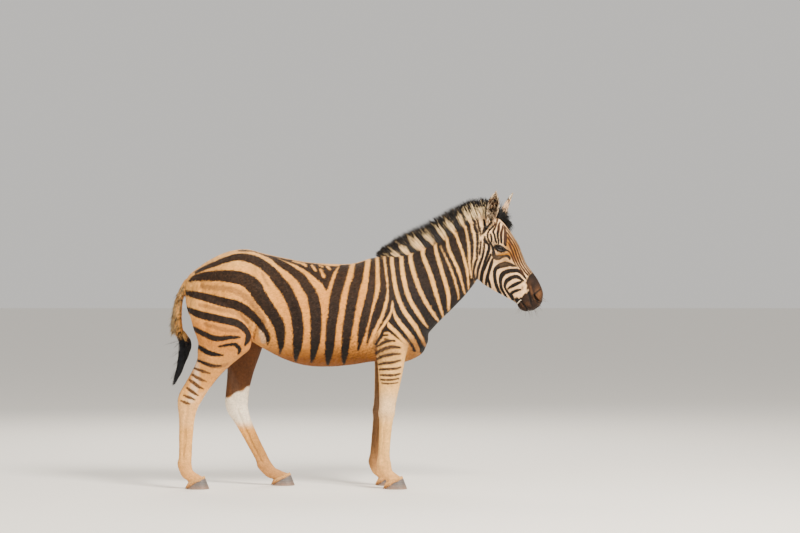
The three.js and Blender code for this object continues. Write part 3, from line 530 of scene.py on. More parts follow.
# The head's finer stripes, from the nape to the lips.
HEAD_DARK = {
    "nape": [[657, 1487, 12], [649, 1468, 13], [646, 1442, 15], [650, 1409, 16], [660, 1385, 13],
        [661, 1336, 12], [660, 1275, 11], [658, 1239, 10], [652, 1225, 12], [647, 1207, 11],
        [642, 1186, 10], [640, 1164, 9], [642, 1144, 11], [649, 1130, 12]],
    "behind the ear": [[667, 1473, 4], [663, 1456, 7], [665, 1434, 8], [672, 1409, 11], [676, 1395, 11],
        [679, 1380, 8], [679, 1368, 3]],
    "lens": [[681, 1343, 3], [679, 1327, 8], [677, 1305, 9], [675, 1283, 9], [674, 1263, 4]],
    "ear's root": [[696, 1453, 9], [701, 1431, 11], [698, 1409, 11], [694, 1392, 8], [691, 1378, 4]],
    "ear's lower edge": [[759, 1473, 12], [744, 1451, 9], [730, 1433, 7], [717, 1417, 7], [707, 1402, 6],
        [698, 1386, 6]],
    "cheek first": [[701, 1366, 3], [700, 1351, 7], [698, 1321, 9], [695, 1288, 11], [690, 1263, 11],
        [683, 1239, 12], [674, 1215, 12], [666, 1190, 12], [661, 1166, 11], [659, 1144, 10], [658, 1130, 6]],
    "cheek second": [[701, 1353, 6], [708, 1339, 9], [718, 1324, 10], [725, 1310, 11], [724, 1293, 13],
        [719, 1276, 13], [712, 1256, 12], [705, 1239, 10], [698, 1217, 9], [694, 1195, 12], [688, 1171, 15],
        [684, 1147, 15], [682, 1122, 13], [683, 1103, 10]],
    "cheek third": [[734, 1268, 6], [728, 1251, 9], [718, 1232, 10], [709, 1212, 10], [701, 1193, 10],
        [695, 1178, 8]],
    "cheek fourth": [[744, 1243, 6], [740, 1227, 12], [734, 1207, 14], [728, 1188, 13], [721, 1164, 13],
        [715, 1139, 13], [710, 1117, 10], [708, 1098, 7]],
    "cheek fifth": [[720, 1142, 5], [723, 1125, 9], [727, 1108, 10], [732, 1088, 9]],
    "ear to eye": [[756, 1440, 3], [755, 1430, 4], [742, 1413, 4], [731, 1403, 5], [722, 1392, 5],
        [717, 1380, 6], [717, 1369, 7], [718, 1357, 7], [723, 1344, 7], [729, 1333, 7], [736, 1322, 8],
        [742, 1310, 9], [746, 1300, 10]],
    "ear to brow": [[772, 1465, 7], [769, 1452, 6], [766, 1436, 5], [760, 1417, 4], [757, 1408, 4]],
    "brow lens": [[734, 1378, 4], [736, 1369, 7], [738, 1358, 8], [739, 1347, 7], [739, 1337, 4]],
    "brow first": [[758, 1413, 3], [752, 1402, 8], [747, 1392, 8], [751, 1382, 7], [755, 1372, 7],
        [758, 1355, 7], [762, 1340, 7], [766, 1331, 4]],
    "brow second": [[784, 1442, 3], [779, 1432, 6], [778, 1420, 10], [777, 1408, 11], [775, 1395, 11],
        [772, 1383, 10], [772, 1370, 9], [773, 1358, 8], [776, 1347, 7], [777, 1327, 3]],
    "brow third": [[800, 1424, 3], [798, 1410, 7], [795, 1398, 8], [792, 1385, 10], [791, 1374, 11],
        [790, 1363, 9], [791, 1352, 9], [792, 1340, 8], [792, 1330, 5]],
    "brow fourth": [[809, 1418, 3], [811, 1405, 7], [813, 1393, 9], [814, 1380, 12], [814, 1368, 14],
        [814, 1349, 15], [813, 1330, 13], [815, 1319, 8]],
    "bar below the eye": [[746, 1300, 11], [750, 1276, 14], [754, 1257, 20], [766, 1250, 23],
        [784, 1251, 19], [798, 1255, 10], [816, 1259, 9], [829, 1257, 10], [835, 1250, 11], [838, 1242, 5]],
    "corner of the eye": [[806, 1301, 6], [818, 1292, 4], [829, 1285, 2]],
    "outer arch": [[867, 1203, 4], [854, 1208, 12], [838, 1213, 16], [819, 1213, 26], [801, 1211, 27],
        [785, 1206, 24], [768, 1196, 19], [759, 1185, 16], [755, 1166, 14], [756, 1142, 14],
        [760, 1118, 14], [768, 1090, 14], [787, 1052, 9]],
    "second arch": [[930, 1131, 4], [920, 1143, 7], [909, 1159, 11], [896, 1172, 15], [877, 1180, 17],
        [859, 1179, 18], [838, 1177, 19], [818, 1172, 21], [802, 1162, 22], [792, 1146, 20],
        [787, 1122, 14], [792, 1085, 11], [806, 1058, 9], [820, 1035, 5]],
    "third arch": [[913, 1124, 5], [898, 1134, 11], [883, 1144, 16], [865, 1146, 18], [851, 1142, 18],
        [835, 1134, 19], [821, 1123, 18], [813, 1106, 13], [812, 1088, 9], [822, 1068, 8], [836, 1049, 8],
        [858, 1014, 5]],
    "inner arch": [[905, 1118, 5], [890, 1114, 12], [875, 1107, 15], [859, 1099, 15], [843, 1090, 12],
        [829, 1081, 5]],
    "lip arch": [[897, 1075, 5], [883, 1073, 10], [870, 1068, 12], [855, 1062, 12], [846, 1052, 12],
        [850, 1040, 11], [855, 1026, 11], [863, 1011, 11]],
}
# Bars across the forearm, which rise and fade to its front.
FOREARM_BARS = [
    [[112, 766, 7], [128, 772, 10], [147, 786, 13], [169, 794, 13], [191, 798, 11], [210, 796, 7]],
    [[112, 730, 11], [138, 745, 14], [159, 755, 15], [184, 761, 15], [211, 762, 13], [240, 760, 7]],
    [[117, 698, 10], [147, 712, 12], [174, 718, 13], [207, 724, 11], [240, 725, 5]],
    [[125, 668, 8], [153, 674, 11], [182, 676, 12], [213, 682, 10], [243, 690, 5]],
    [[129, 640, 7], [158, 642, 10], [195, 644, 11], [218, 646, 9], [243, 652, 5]],
    [[134, 610, 5], [164, 609, 9], [195, 609, 10], [218, 611, 8], [240, 617, 4]],
    [[136, 585, 5], [164, 583, 7], [191, 584, 8], [232, 591, 4]],
    [[142, 566, 3], [164, 564, 5], [185, 563, 5], [226, 569, 3]],
]
# Faded brown bands between the dark ones of the haunch.
FAINT = {
    "haunch upper": [[-840, 1092, 20], [-740, 1084, 26], [-660, 1068, 30], [-578, 1015, 30],
        [-512, 926, 22], [-490, 880, 12]],
    "haunch middle": [[-850, 992, 16], [-740, 966, 20], [-660, 950, 24], [-590, 900, 18]],
    "haunch lower": [[-823, 888, 14], [-714, 856, 20], [-640, 850, 12]],
    "low thigh": [[-850, 690, 16], [-770, 655, 20], [-700, 668, 14]],
    "croup": [[-512, 1165, 10], [-495, 1125, 12], [-478, 1096, 8]],
}
# The face's long lines, counted round it from the midline. `apart` is how far apart they run at a lower
# and an upper height, and `rear` how far back they go at each height.
NOSE_LINES = {
    "breadth": 16, "apart": [[1150, 18.5], [1400, 26]],
    "rear": [[1150, 50], [1177, 64], [1237, 72], [1292, 66], [1346, 50], [1390, 28], [1420, 20],
             [1450, 14]],
}
DORSAL = {"half": 10, "margin": 27, "from": -870, "to": 70}  # black line along the spine, white beside it
RUNG = {"apart": 24, "half": 3.2, "row": 52}  # dark rungs down the dock, whose rows are 52 mm apart
# A stripe is drawn broader than its line by this much to each side, because hair at its edge stands
# over the pale, and a pale stripe of the neck is drawn narrower.
BROADER = {"body": 2.2, "face": 2.9, "forearm": 2.6}
NARROWER = 2.3
# The lines lie as they do when looked at square to the flank from this far off, opposite this point.
LINES_SEEN = {"off": 14000, "x": 240, "z": 1200}


def colour(code):
    """Linear red, green and blue of an sRGB hex colour."""
    parts = [int(code[i:i + 2], 16) / 255 for i in (1, 3, 5)]
    return np.array([p / 12.92 if p <= 0.04045 else ((p + 0.055) / 1.055) ** 2.4 for p in parts])


# Pale hair: tan on haunch and back, deeper on the barrel, cream on neck and legs, white on face and hocks.
TAN, BARREL, CREAM, WHITE = colour("#eaa04a"), colour("#d58836"), colour("#efb86c"), colour("#fdecd2")
# What stains it: the faded bands, dust on the feet, rust on the face. Painted shade: brown under belly and
# breast, darker brown in folds and on inner legs.
SHADOWED_BELLY, FADED, DUST = colour("#7d470c"), colour("#7a5232"), colour("#d79a5e")
RUST, DARK_RUST, PAINTED_SHADE = colour("#98600e"), colour("#5f3008"), colour("#4c2b19")
# Dark hair: brownish high on the haunch and trunk, where painted sheen lightens it, black on neck and
# shoulder, soot on belly and head, brown on legs and nose, greyed below the eye.
BROWN, BLACK, SOOT = colour("#221409"), colour("#110c0b"), colour("#070504")
HIND_BROWN, FORE_BROWN, NOSE_BROWN = colour("#56371c"), colour("#4a3320"), colour("#2e180a")
GREYED = colour("#4a3826")
# The muzzle's bare skin.
MUZZLE, MUZZLE_GREY, MUZZLE_PALE = colour("#190c05"), colour("#2a1a10"), colour("#644023")


def ripple(places, size, seed):
    """A slow, repeatable unevenness between -1 and 1, about `size` mm from crest to crest."""
    draw = np.random.default_rng(seed)
    total = np.zeros(len(places))
    for _ in range(5):
        way = draw.normal(size=3)
        total += np.sin(places @ (way / np.linalg.norm(way)) * 2 * np.pi / (size * draw.uniform(0.7, 1.6))
                        + draw.uniform(0, 6.3))
    return total / 3.2


def strength(flat, lines, spread=60):
    """How deep each point lies inside the nearest line's stripe, in mm; below 0 outside."""
    best = np.full(len(flat), -200.0)
    for line in lines.values():
        curve = curve_of(line)
        (x0, z0), (x1, z1) = curve[:, :2].min(0) - spread, curve[:, :2].max(0) + spread
        near = np.flatnonzero((flat[:, 0] > x0) & (flat[:, 0] < x1) & (flat[:, 1] > z0) & (flat[:, 1] < z1))
        if not len(near):
            continue
        away, share = reach_to(curve, flat[near])
        half = np.interp(share * (len(curve) - 1), np.arange(len(curve)), curve[:, 2]) / 2
        best[near] = np.maximum(best[near], half - away)
    return best


def within(flat, outline):
    """Distance inside a closed outline; below 0 outside."""
    ring = np.array(outline + outline[:1], float)
    away, _ = reach_to(ring, flat)
    a, b = ring[:-1], ring[1:]
    x, z = flat[:, 0, None], flat[:, 1, None]
    crosses = (a[:, 1] > z) != (b[:, 1] > z)
    at = a[:, 0] + (z - a[:, 1]) * (b[:, 0] - a[:, 0]) / np.where(b[:, 1] == a[:, 1], 1, b[:, 1] - a[:, 1])
    odd = (crosses & (x < at)).sum(1) % 2 == 1
    return np.where(odd, away, -away)


def spot(flat, x, z, long, tall):
    """A soft round spot: 1 at its middle, fading outwards."""
    return np.exp(-(((flat[:, 0] - x) / long) ** 2 + ((flat[:, 1] - z) / tall) ** 2))


def mix(a, b, share):
    """Colours that go from a to b with each point's share."""
    return a + (b - a) * np.clip(share, 0, 1)[:, None]


FORM_NAMES = list(FORMS)
PER_ROW = 5
NEAR = 40  # a point is tried on each form that comes this near to it
AT_ONCE = 30000  # points tried together, few enough to fit in memory
FORM_SECTIONS = {name: curve_of(rows, PER_ROW) for name, rows in FORMS.items()}


def settle(places):
    """For each point, the form it lies on, its row along that form and its angle round it."""
    best = np.full(len(places), 1e9)
    form, row, angle = np.zeros(len(places), int), np.zeros(len(places)), np.zeros(len(places))
    for index, name in enumerate(FORM_NAMES):
        s = FORM_SECTIONS[name]
        first = np.array([s[:, [0, 2]].min(), (s[:, 4] - s[:, 5]).min(), s[:, [1, 3]].min()])
        last = np.array([s[:, [0, 2]].max(), (s[:, 4] + s[:, 5]).max(), s[:, [1, 3]].max()])
        near = np.flatnonzero(((places > first - NEAR) & (places < last + NEAR)).all(1))
        for part in np.array_split(near, len(near) // AT_ONCE + 1):
            p = places[part]
            run = s[:, 2:4] - s[:, 0:2]
            depth = np.linalg.norm(run, axis=1)
            run = run / depth[:, None]
            dx, dz = p[:, 0, None] - s[:, 0], p[:, 2, None] - s[:, 1]
            t = (dx * run[:, 0] + dz * run[:, 1]) / depth
            off = np.abs(dx * run[:, 1] - dz * run[:, 0])
            off += np.maximum(np.abs(t - 0.5) - 0.53, 0) * depth * 2
            at = off.argmin(1)
            rows = np.arange(len(p))
            t, sec = t[rows, at], s[at]
            low = t < sec[:, 6]
            power = np.where(low, sec[:, 7], sec[:, 8])
            a = np.where(low, (sec[:, 6] - t) / sec[:, 6], (t - sec[:, 6]) / (1 - sec[:, 6]))
            b = np.abs(p[:, 1] - sec[:, 4]) / sec[:, 5]
            a = np.maximum(a, 0)
            radius = (a ** power + b ** power) ** (1 / power)
            wrong = np.abs(radius - 1) * np.minimum(sec[:, 5], depth[at] / 2) + off[rows, at]
            better = wrong < best[part]
            turn = np.arctan2(np.where(low, -1, 1) * a ** (power / 2),
                              np.sign(p[:, 1] - sec[:, 4]) * b ** (power / 2))
            chosen = part[better]
            best[chosen], form[chosen] = wrong[better], index
            row[chosen], angle[chosen] = at[better] / PER_ROW, turn[better]
    return form, row, angle


def leg_line(joints, side, z):
    """How far forward a leg's middle lies at a height."""
    rows = np.array(joints[side], float)[::-1]
    return np.interp(z, rows[:, 2], rows[:, 0])


def is_form(form, *starts):
    return np.isin(form, [i for i, name in enumerate(FORM_NAMES) if name.startswith(starts)])


def drawn_from(places, form):
    """Side-view points of the stripes' lines; the left side's turn a little their own way."""
    x, y, z = places.T
    near = (LINES_SEEN["off"] - np.abs(y)) / LINES_SEEN["off"]
    flat = np.stack([LINES_SEEN["x"] + (x - LINES_SEEN["x"]) / near,
                     LINES_SEEN["z"] + (z - LINES_SEEN["z"]) / near], axis=1)
    own = smooth(15, 130, y)
    flat[:, 0] += own * (13 * ripple(places * [1, 0, 1], 420, 3) + 5 * ripple(places * [1, 0, 1], 160, 4))
    flat[:, 1] += own * 10 * ripple(places * [1, 0, 1], 380, 5)
    for name, joints in (("fore_left", FORE_JOINTS), ("hind_left", HIND_JOINTS)):
        on = is_form(form, name) * smooth(840, 700, z)
        flat[:, 0] += on * (leg_line(joints, -1, z) - leg_line(joints, 1, z))
    return flat


def back_of_nose(flat):
    """How far each point lies behind the front of the face, in the side view."""
    front = FORM_SECTIONS["head"][:, 2:4]
    front = front[np.argsort(front[:, 1])]
    return np.interp(flat[:, 1], front[:, 1], front[:, 0]) - flat[:, 0]


def stripes_on(places, normals, form, row, flat, head):
    """Depth inside the nearest dark stripe, in mm; below 0 on pale hair."""
    x, y, z = places.T
    stripe = strength(flat, DARK) + BROADER["body"]
    pale_lines = strength(flat, PALE) - NARROWER * smooth(250, 420, x)
    dark_fields = np.minimum(np.maximum(within(flat, COLLAR), within(flat, SADDLE)), -pale_lines)
    stripe = np.maximum(stripe, np.where(z > 640, dark_fields, -200))
    face = np.where(x > 600, strength(flat, HEAD_DARK) + BROADER["face"], -200)
    stripe = np.maximum(stripe, face)
    over_leg = (z < 812) & (flat[:, 0] > 95) & (flat[:, 0] < 275)
    bars = strength(flat, dict(enumerate(FOREARM_BARS))) + BROADER["forearm"]
    stripe = np.where(over_leg, np.maximum(bars, np.where(z > 728, stripe, -200)), stripe)
    # Long lines down the front of the face.
    back = back_of_nose(flat)
    apart = np.interp(z, *np.transpose(NOSE_LINES["apart"]))
    step = (0.85 * np.abs(y) + np.maximum(back, 0)) / apart
    off = np.abs(step - np.round(step)) * apart
    rear = np.interp(flat[:, 1], *np.transpose(NOSE_LINES["rear"]))
    lines = 0.5 * NOSE_LINES["breadth"] * smooth(1475, 1430, z) * smooth(rear + 6, rear - 10, back) - off
    stripe = np.maximum(stripe, np.where(head & (z > 1150) & (back < rear + 6), lines, -200))
    stripe = stripe * (1 + 1.2 * head)  # the face's hair is finest, so its lines are the sharpest
    # Along the spine a black line with white margins; inner sides of the legs stay plain.
    spine = (x > DORSAL["from"]) & (x < DORSAL["to"]) & (normals[:, 2] > 0.3) & (z > 1080)
    lined = np.maximum(np.minimum(stripe, np.abs(y) - DORSAL["margin"]), DORSAL["half"] - np.abs(y))
    stripe = np.where(spine, lined, stripe)
    under = smooth(0.55, 0.9, -normals[:, 2]) * (z < 760) * (x < 80) * (np.abs(y) < 70)
    stripe -= 60 * np.maximum(inner_side(places, normals), under)
    rung = RUNG["half"] - np.abs(((row * RUNG["row"]) % RUNG["apart"]) - RUNG["apart"] / 2)
    on_dock = is_form(form, "dock") & (z < 1095)
    return np.where(on_dock, np.where(z > 850, rung, 6 * smooth(870, 830, z) + rung), stripe)


def inner_way(places, normals):
    """How far a surface faces the middle plane, from -1 to 1."""
    return -normals[:, 1] * np.where(places[:, 1] < 0, -1, 1)


def inner_side(places, normals):
    """1 on the inner faces of the legs, 0 elsewhere."""
    return smooth(0.0, 0.5, inner_way(places, normals)) * smooth(900, 800, places[:, 2])


def pale_ground(places, normals, form, flat):
    """Tan on trunk and haunch, whiter on neck, face and hocks, dusty feet; brown painted shade under the
    belly, in folds and on inner legs.
    """
    x, _, z = places.T
    ground = mix(TAN, BARREL, 0.6 * smooth(-520, -300, x) * smooth(150, 0, x) * smooth(1200, 1000, z))
    ground = mix(ground, CREAM, 0.5 * smooth(1150, 1240, z) + 0.35 * smooth(-820, -900, x))
    ground = mix(ground, CREAM, 0.55 * smooth(60, 180, x))
    ground = mix(ground, WHITE, 0.3 * smooth(590, 700, x))
    # Painted shade: brown under the belly, and under the breast between the forelegs.
    ground = mix(ground, SHADOWED_BELLY, smooth(815, 690, z) * smooth(-640, -480, x) * smooth(330, 200, x))
    ground = mix(ground, SHADOWED_BELLY, 0.8 * smooth(860, 780, z) * smooth(240, 300, x) * smooth(640, 560, x))
    on_leg, behind = is_form(form, "fore", "hind"), is_form(form, "hind")
    inner = inner_side(places, normals)
    ground = mix(ground, BARREL, behind * smooth(980, 860, z) * smooth(480, 600, z))
    # Painted shade dims the hind thigh.
    ground = mix(ground, PAINTED_SHADE, 0.2 * behind * smooth(900, 800, z) * smooth(500, 620, z))
    ground = mix(ground, CREAM, on_leg * smooth(830, 640, z) * (1 - 0.75 * behind))
    calf = strength(flat, {"calf": [[-868, 672, 24], [-874, 572, 52], [-900, 477, 46]]})
    ground = mix(ground, WHITE, 0.4 * np.clip(calf / 20 + 0.3, 0, 1) * behind)
    # The hock is white inside, with a slanting upper edge against painted shadow, a dark brown laid on the
    # inner thigh above it.
    rise = z - 476 - 0.57 * (flat[:, 0] - leg_line(HIND_JOINTS, -1, z) + 62)
    facing = smooth(-0.35, 0.1, inner_way(places, normals))
    white = behind * smooth(7, -7, rise + 7 * ripple(places, 45, 17)) * smooth(300, 370, z)
    ground = mix(ground, PAINTED_SHADE, 0.95 * facing * behind * smooth(-12, 12, rise) * smooth(900, 800, z))
    ground = mix(ground, WHITE, white * (0.1 + 0.9 * facing))
    ground = mix(ground, WHITE, 0.3 * (1 - behind) * on_leg * smooth(560, 460, z) * smooth(330, 430, z))
    # Painted shade on the inner sides of the forelegs.
    ground = mix(ground, PAINTED_SHADE, 0.9 * inner * is_form(form, "fore") * smooth(60, 120, z))
    ground = mix(ground, DUST, on_leg * 0.55 * smooth(260, 60, z))
    faint = np.clip(strength(flat, FAINT) / 9 + 0.7 + 0.25 * ripple(places, 26, 19), 0, 1) * (1 - inner)
    ground = mix(ground, FADED, 0.6 * faint)
    # The pale fold before the stifle with painted shade in its crease, and painted shade in the fold behind
    # the elbow.
    fold = strength(flat, {"flank": [[-525, 880, 14], [-514, 845, 34], [-502, 800, 34]]})
    ground = mix(ground, WHITE, 0.35 * np.clip(fold / 8 + 0.4, 0, 1))
    crease = strength(flat, {"crease": [[-540, 886, 3], [-547, 850, 6], [-556, 812, 5]]})
    ground = mix(ground, PAINTED_SHADE, 0.75 * np.clip(crease / 4 + 0.6, 0, 1) * (z > 790))
    fold = strength(flat, {"elbow": [[118, 835, 10], [106, 780, 20], [110, 728, 18]]})
    ground = mix(ground, PAINTED_SHADE, 0.8 * np.clip(fold / 10 + 0.6, 0, 1))
    # A tendon's shadow behind each cannon bone.
    for joints, name in ((FORE_JOINTS, "fore"), (HIND_JOINTS, "hind")):
        off = np.abs(flat[:, 0] - leg_line(joints, -1, flat[:, 1]) + 15 + 4 * ripple(places, 120, 8)) - 2
        share = smooth(4, 0, off) * smooth(350, 320, z) * smooth(160, 190, z) * is_form(form, name)
        ground = mix(ground, PAINTED_SHADE, 0.3 * share)
    return ground


def face_ground(ground, flat, places, head):
    """Rust before and below the eye; grey and brown on the bare muzzle, paler above the nostril, with painted
    shade in its creases and a painted highlight on the lip.
    """
    orange = spot(flat, 860, 1302, 46, 64) + 0.95 * spot(flat, 792, 1264, 52, 18)
    orange += 0.8 * spot(flat, 822, 1352, 20, 46) + 0.55 * spot(flat, 884, 1240, 26, 34)
    orange += 0.5 * spot(flat, 800, 1230, 58, 14) + 0.3 * spot(flat, 812, 1190, 42, 12)
    ground = mix(ground, RUST, head * np.clip(orange, 0, 1))
    dark_rust = strength(flat, {"before the brow": [[829, 1385, 5], [834, 1363, 7], [839, 1338, 11],
                                                    [840, 1315, 14], [843, 1302, 11], [846, 1295, 8]],
                                "from the eye": [[826, 1290, 6], [850, 1262, 8], [872, 1226, 5]]})
    ground = mix(ground, DARK_RUST, 0.85 * head * np.clip(dark_rust / 4 + 0.5, 0, 1))
    # Painted shade in the hollow above the eye's rear corner.
    ground = mix(ground, PAINTED_SHADE, 0.8 * head * spot(flat, 750, 1332, 9, 14))
    inside = within(flat, MUZZLE_EDGE + [[880, 900], [1100, 900], [1100, 1182]])
    muzzle = smooth(-5, 5, inside + 5 * ripple(places, 22, 31)) * head
    snout = mix(MUZZLE, MUZZLE_GREY, 0.5 + 0.5 * ripple(places, 40, 33))
    light = 0.9 * spot(flat, 996, 1052, 20, 34) + 0.35 * spot(flat, 932, 997, 16, 13)
    light += 0.25 * spot(flat, 906, 986, 10, 20) + 0.3 * spot(flat, 945, 1100, 12, 22)
    wing = strength(flat, {"wing": [[951, 1092, 13], [960, 1055, 16], [978, 1018, 12]]})
    light += np.clip(wing / 8, 0, 0.5)
    snout = mix(snout, MUZZLE_PALE, light)
    # Painted shade in the muzzle's creases: its groove, the nostril and the rim over it, the mouth and its
    # corner.
    shaded_seams = {
        "groove": [[936, 1076, 8], [946, 1037, 9], [954, 1003, 9], [962, 986, 6]],
        "rim of the nostril": [[1004, 1077, 8], [986, 1062, 9], [968, 1047, 10]],
        "nostril": [[967, 1044, 8], [976, 1028, 9], [988, 1013, 9], [993, 1005, 5]],
        "mouth": [[888, 1026, 8], [907, 1006, 8], [920, 989, 8], [934, 967, 8], [943, 953, 7]],
        "corner": [[872, 1034, 14], [884, 1023, 22], [893, 1014, 16]],
    }
    snout = mix(snout, SOOT, 0.85 * np.clip(strength(flat, shaded_seams) / 3 + 0.5, 0, 1))
    # A small spot of painted shade just behind the muzzle's edge.
    ground = mix(ground, PAINTED_SHADE, 0.75 * head * spot(flat, 907, 1086, 7, 12))
    # A painted highlight on the lip at the corner of the mouth.
    lip_highlight = strength(flat, {"lip": [[899, 1019, 3], [888, 1009, 5], [877, 998, 4]]})
    snout = mix(snout, WHITE, 0.8 * np.clip(lip_highlight / 2 + 0.6, 0, 1))
    return ground + (snout - ground) * muzzle[:, None], muzzle


def marks(places, normals, form, row):
    """Depth inside a dark stripe in mm, the ground's colour and the dark hair's colour at each point."""
    x, _, z = places.T
    flat = drawn_from(places, form)
    head = is_form(form, "head") | ((x > 700) & (z > 1150))
    stripe = stripes_on(places, normals, form, row, flat, head)
    ground, muzzle = face_ground(pale_ground(places, normals, form, flat), flat, places, head)
    stripe = np.where(muzzle > 0.5, np.minimum(stripe, -5), stripe)
    # A dark rim runs round the eye.
    along, across = turned(flat, EYE["x"], EYE["z"], EYE["lean"])
    rim = 1.25 - np.sqrt((along / 33) ** 2 + (across / 18) ** 2)
    stripe = np.where(head & (rim > 0), np.maximum(stripe, rim * 14 - 1.5), stripe)
    # Painted sheen: the dark hair is browner high on the trunk and haunch, and blacker lower down and towards
    # the shoulder.
    ink = mix(BROWN, BLACK, 0.5 * smooth(1150, 900, z) + 0.6 * smooth(150, 250, x))
    ink = mix(ink, SOOT, 0.8 * smooth(860, 740, z) + 0.6 * head)
    ink = mix(ink, HIND_BROWN, 0.75 * is_form(form, "hind") * smooth(700, 620, z))
    ink = mix(ink, FORE_BROWN, 0.6 * is_form(form, "fore") * smooth(840, 760, z))
    ink = mix(ink, NOSE_BROWN, 0.75 * head * smooth(78, 62, back_of_nose(flat)) * (z > 1150))
    ink = mix(ink, GREYED, 0.6 * spot(flat, 782, 1250, 40, 16) + 0.5 * spot(flat, 815, 1213, 44, 14))
    mottling = 0.06 * ripple(places, 90, 11) + 0.05 * ripple(places, 34, 13)
    # Longer, darker wool behind the elbow and before the stifle.
    wool = spot(flat, 10, 765, 110, 70) + 0.8 * spot(flat, -470, 790, 60, 60)
    wool += 0.5 * spot(flat, 175, 720, 70, 90)
    mottling -= np.clip(wool, 0, 1) * (0.16 + 0.42 * ripple(places, 14, 71) + 0.25 * ripple(places, 9, 72))
    return stripe, ground * (1 + mottling)[:, None], ink


def lay_colours(mesh, name, tint):
    """Stores colours on a mesh's vertices for its material to read; one colour serves them all."""
    rgba = np.ones((len(mesh.vertices), 4), np.float32)
    rgba[:, :3] = tint
    mesh.attributes.new(name, "FLOAT_COLOR", "POINT").data.foreach_set("color", rgba.ravel())


def lay_marks(mesh, stripe, ground, ink):
    """Stores the markings: depth inside a dark stripe, the ground's colour and the dark hair's."""
    depths = np.broadcast_to(stripe, len(mesh.vertices)).astype(np.float32)
    mesh.attributes.new("stripe", "FLOAT", "POINT").data.foreach_set("value", depths)
    lay_colours(mesh, "ground", ground)
    lay_colours(mesh, "ink", ink)


def add(tree, kind, inputs, out=0, **settings):
    """Adds a node with its settings, its inputs set to values or linked to sockets; gives one output."""
    made = tree.nodes.new("ShaderNode" + kind)
    for key, value in settings.items():
        setattr(made, key, value)
    for key, value in inputs.items():
        if isinstance(value, bpy.types.NodeSocket):
            tree.links.new(value, made.inputs[key])
        else:
            made.inputs[key].default_value = value
    return made.outputs[out]


def surface(name, sockets):
    """A new material with its node tree and its shader, whose own sockets are set."""
    material = bpy.data.materials.new(name)
    material.use_nodes = True
    shader = material.node_tree.nodes["Principled BSDF"]
    for socket, value in sockets.items():
        shader.inputs[socket].default_value = value
    return material, material.node_tree, shader


def every(size):
    """Scale of a pattern whose marks lie so many mm apart."""
    return 1 / (size * MM)


def hair_material(name, lie, roughness):
    """Hair: dull, with a soft sheen; black and pale hairs mingle at each stripe's edge."""
    material, tree, shader = surface(name, {
        "Roughness": roughness, "Specular IOR Level": 0.18, "Sheen Weight": 0.06, "Sheen Roughness": 0.5})
    place = add(tree, "TexCoord", {}, "Object")
    stripe = add(tree, "Attribute", {}, "Fac", attribute_name="stripe")
    ground = add(tree, "Attribute", {}, "Color", attribute_name="ground")
    ink = add(tree, "Attribute", {}, "Color", attribute_name="ink")
    # A hair is 0.1 mm thick, too fine to show, and is drawn as streaks 2.4 mm apart, longer the way it lies.
    stretched = add(tree, "Mapping", {"Vector": place, "Scale": lie})
    fine = add(tree, "TexNoise", {"Vector": stretched, "Scale": every(2.381), "Detail": 3.0}, "Fac")
    # Stripes are ragged by 3 mm along their edges.
    ragged = add(tree, "MapRange", {"Value": fine, "From Min": 0.3, "From Max": 0.7, "To Min": -3.0,
                                    "To Max": 3.0})
    total = add(tree, "Math", {0: stripe, 1: ragged}, operation="ADD")
    dark = add(tree, "MapRange", {"Value": total, "From Min": -1.6, "From Max": 1.6})
    tint = add(tree, "MapRange", {"Value": fine, "From Min": 0.25, "From Max": 0.75, "To Min": 0.78,
                                  "To Max": 1.16})
    # Locks 13 mm apart are lighter and darker by a seventh.
    locks = add(tree, "TexNoise", {"Vector": place, "Scale": every(13.333), "Detail": 4.0}, "Fac")
    shade = add(tree, "MapRange", {"Value": locks, "From Min": 0.3, "From Max": 0.7, "To Min": 0.86,
                                   "To Max": 1.14})
    uneven = add(tree, "Math", {0: tint, 1: shade}, operation="MULTIPLY")
    pale = add(tree, "VectorMath", {0: ground, "Scale": uneven}, operation="SCALE")
    # Brown hairs show through the black in flecks.
    flecks = add(tree, "MapRange", {"Value": locks, "From Min": 0.35, "From Max": 0.7, "To Min": 0.75,
                                    "To Max": 2.2})
    black = add(tree, "VectorMath", {0: ink, "Scale": flecks}, operation="SCALE")
    coloured = add(tree, "Mix", {0: dark, 6: pale, 7: black}, 2, data_type="RGBA")
    tree.links.new(coloured, shader.inputs["Base Color"])
    bump = add(tree, "Bump", {"Height": fine, "Strength": 0.35, "Distance": 1.2 * MM})
    tree.links.new(bump, shader.inputs["Normal"])
    return material


# Hide, with the undermost hair on it: the dullest surface, as light sinks in between the tufts.
BACKWARDS = (0.35, 1.0, 0.6)  # hair lies back along the body and down
hide = hair_material("zebra_hide", BACKWARDS, 0.72)
places, normals = read(skin.data)
body_points = len(places)  # the ears' own points come after these
form, row, _ = settle(places)
lay_marks(skin.data, *marks(places, normals, form, row))
skin.data.shade_smooth()
skin.data.materials.append(hide)
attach(skin, "root")
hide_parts(*[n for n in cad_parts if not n.startswith("eye") and "hoof" not in n])

# ---- Ears ----
# Gristle covered with hide, a leaf rolled to a cup that stands on its burr behind the poll.
# Short hair lies outside, black at the back with a white tip; long pale hairs stand inside the cup.
EAR_HEIGHT = 173
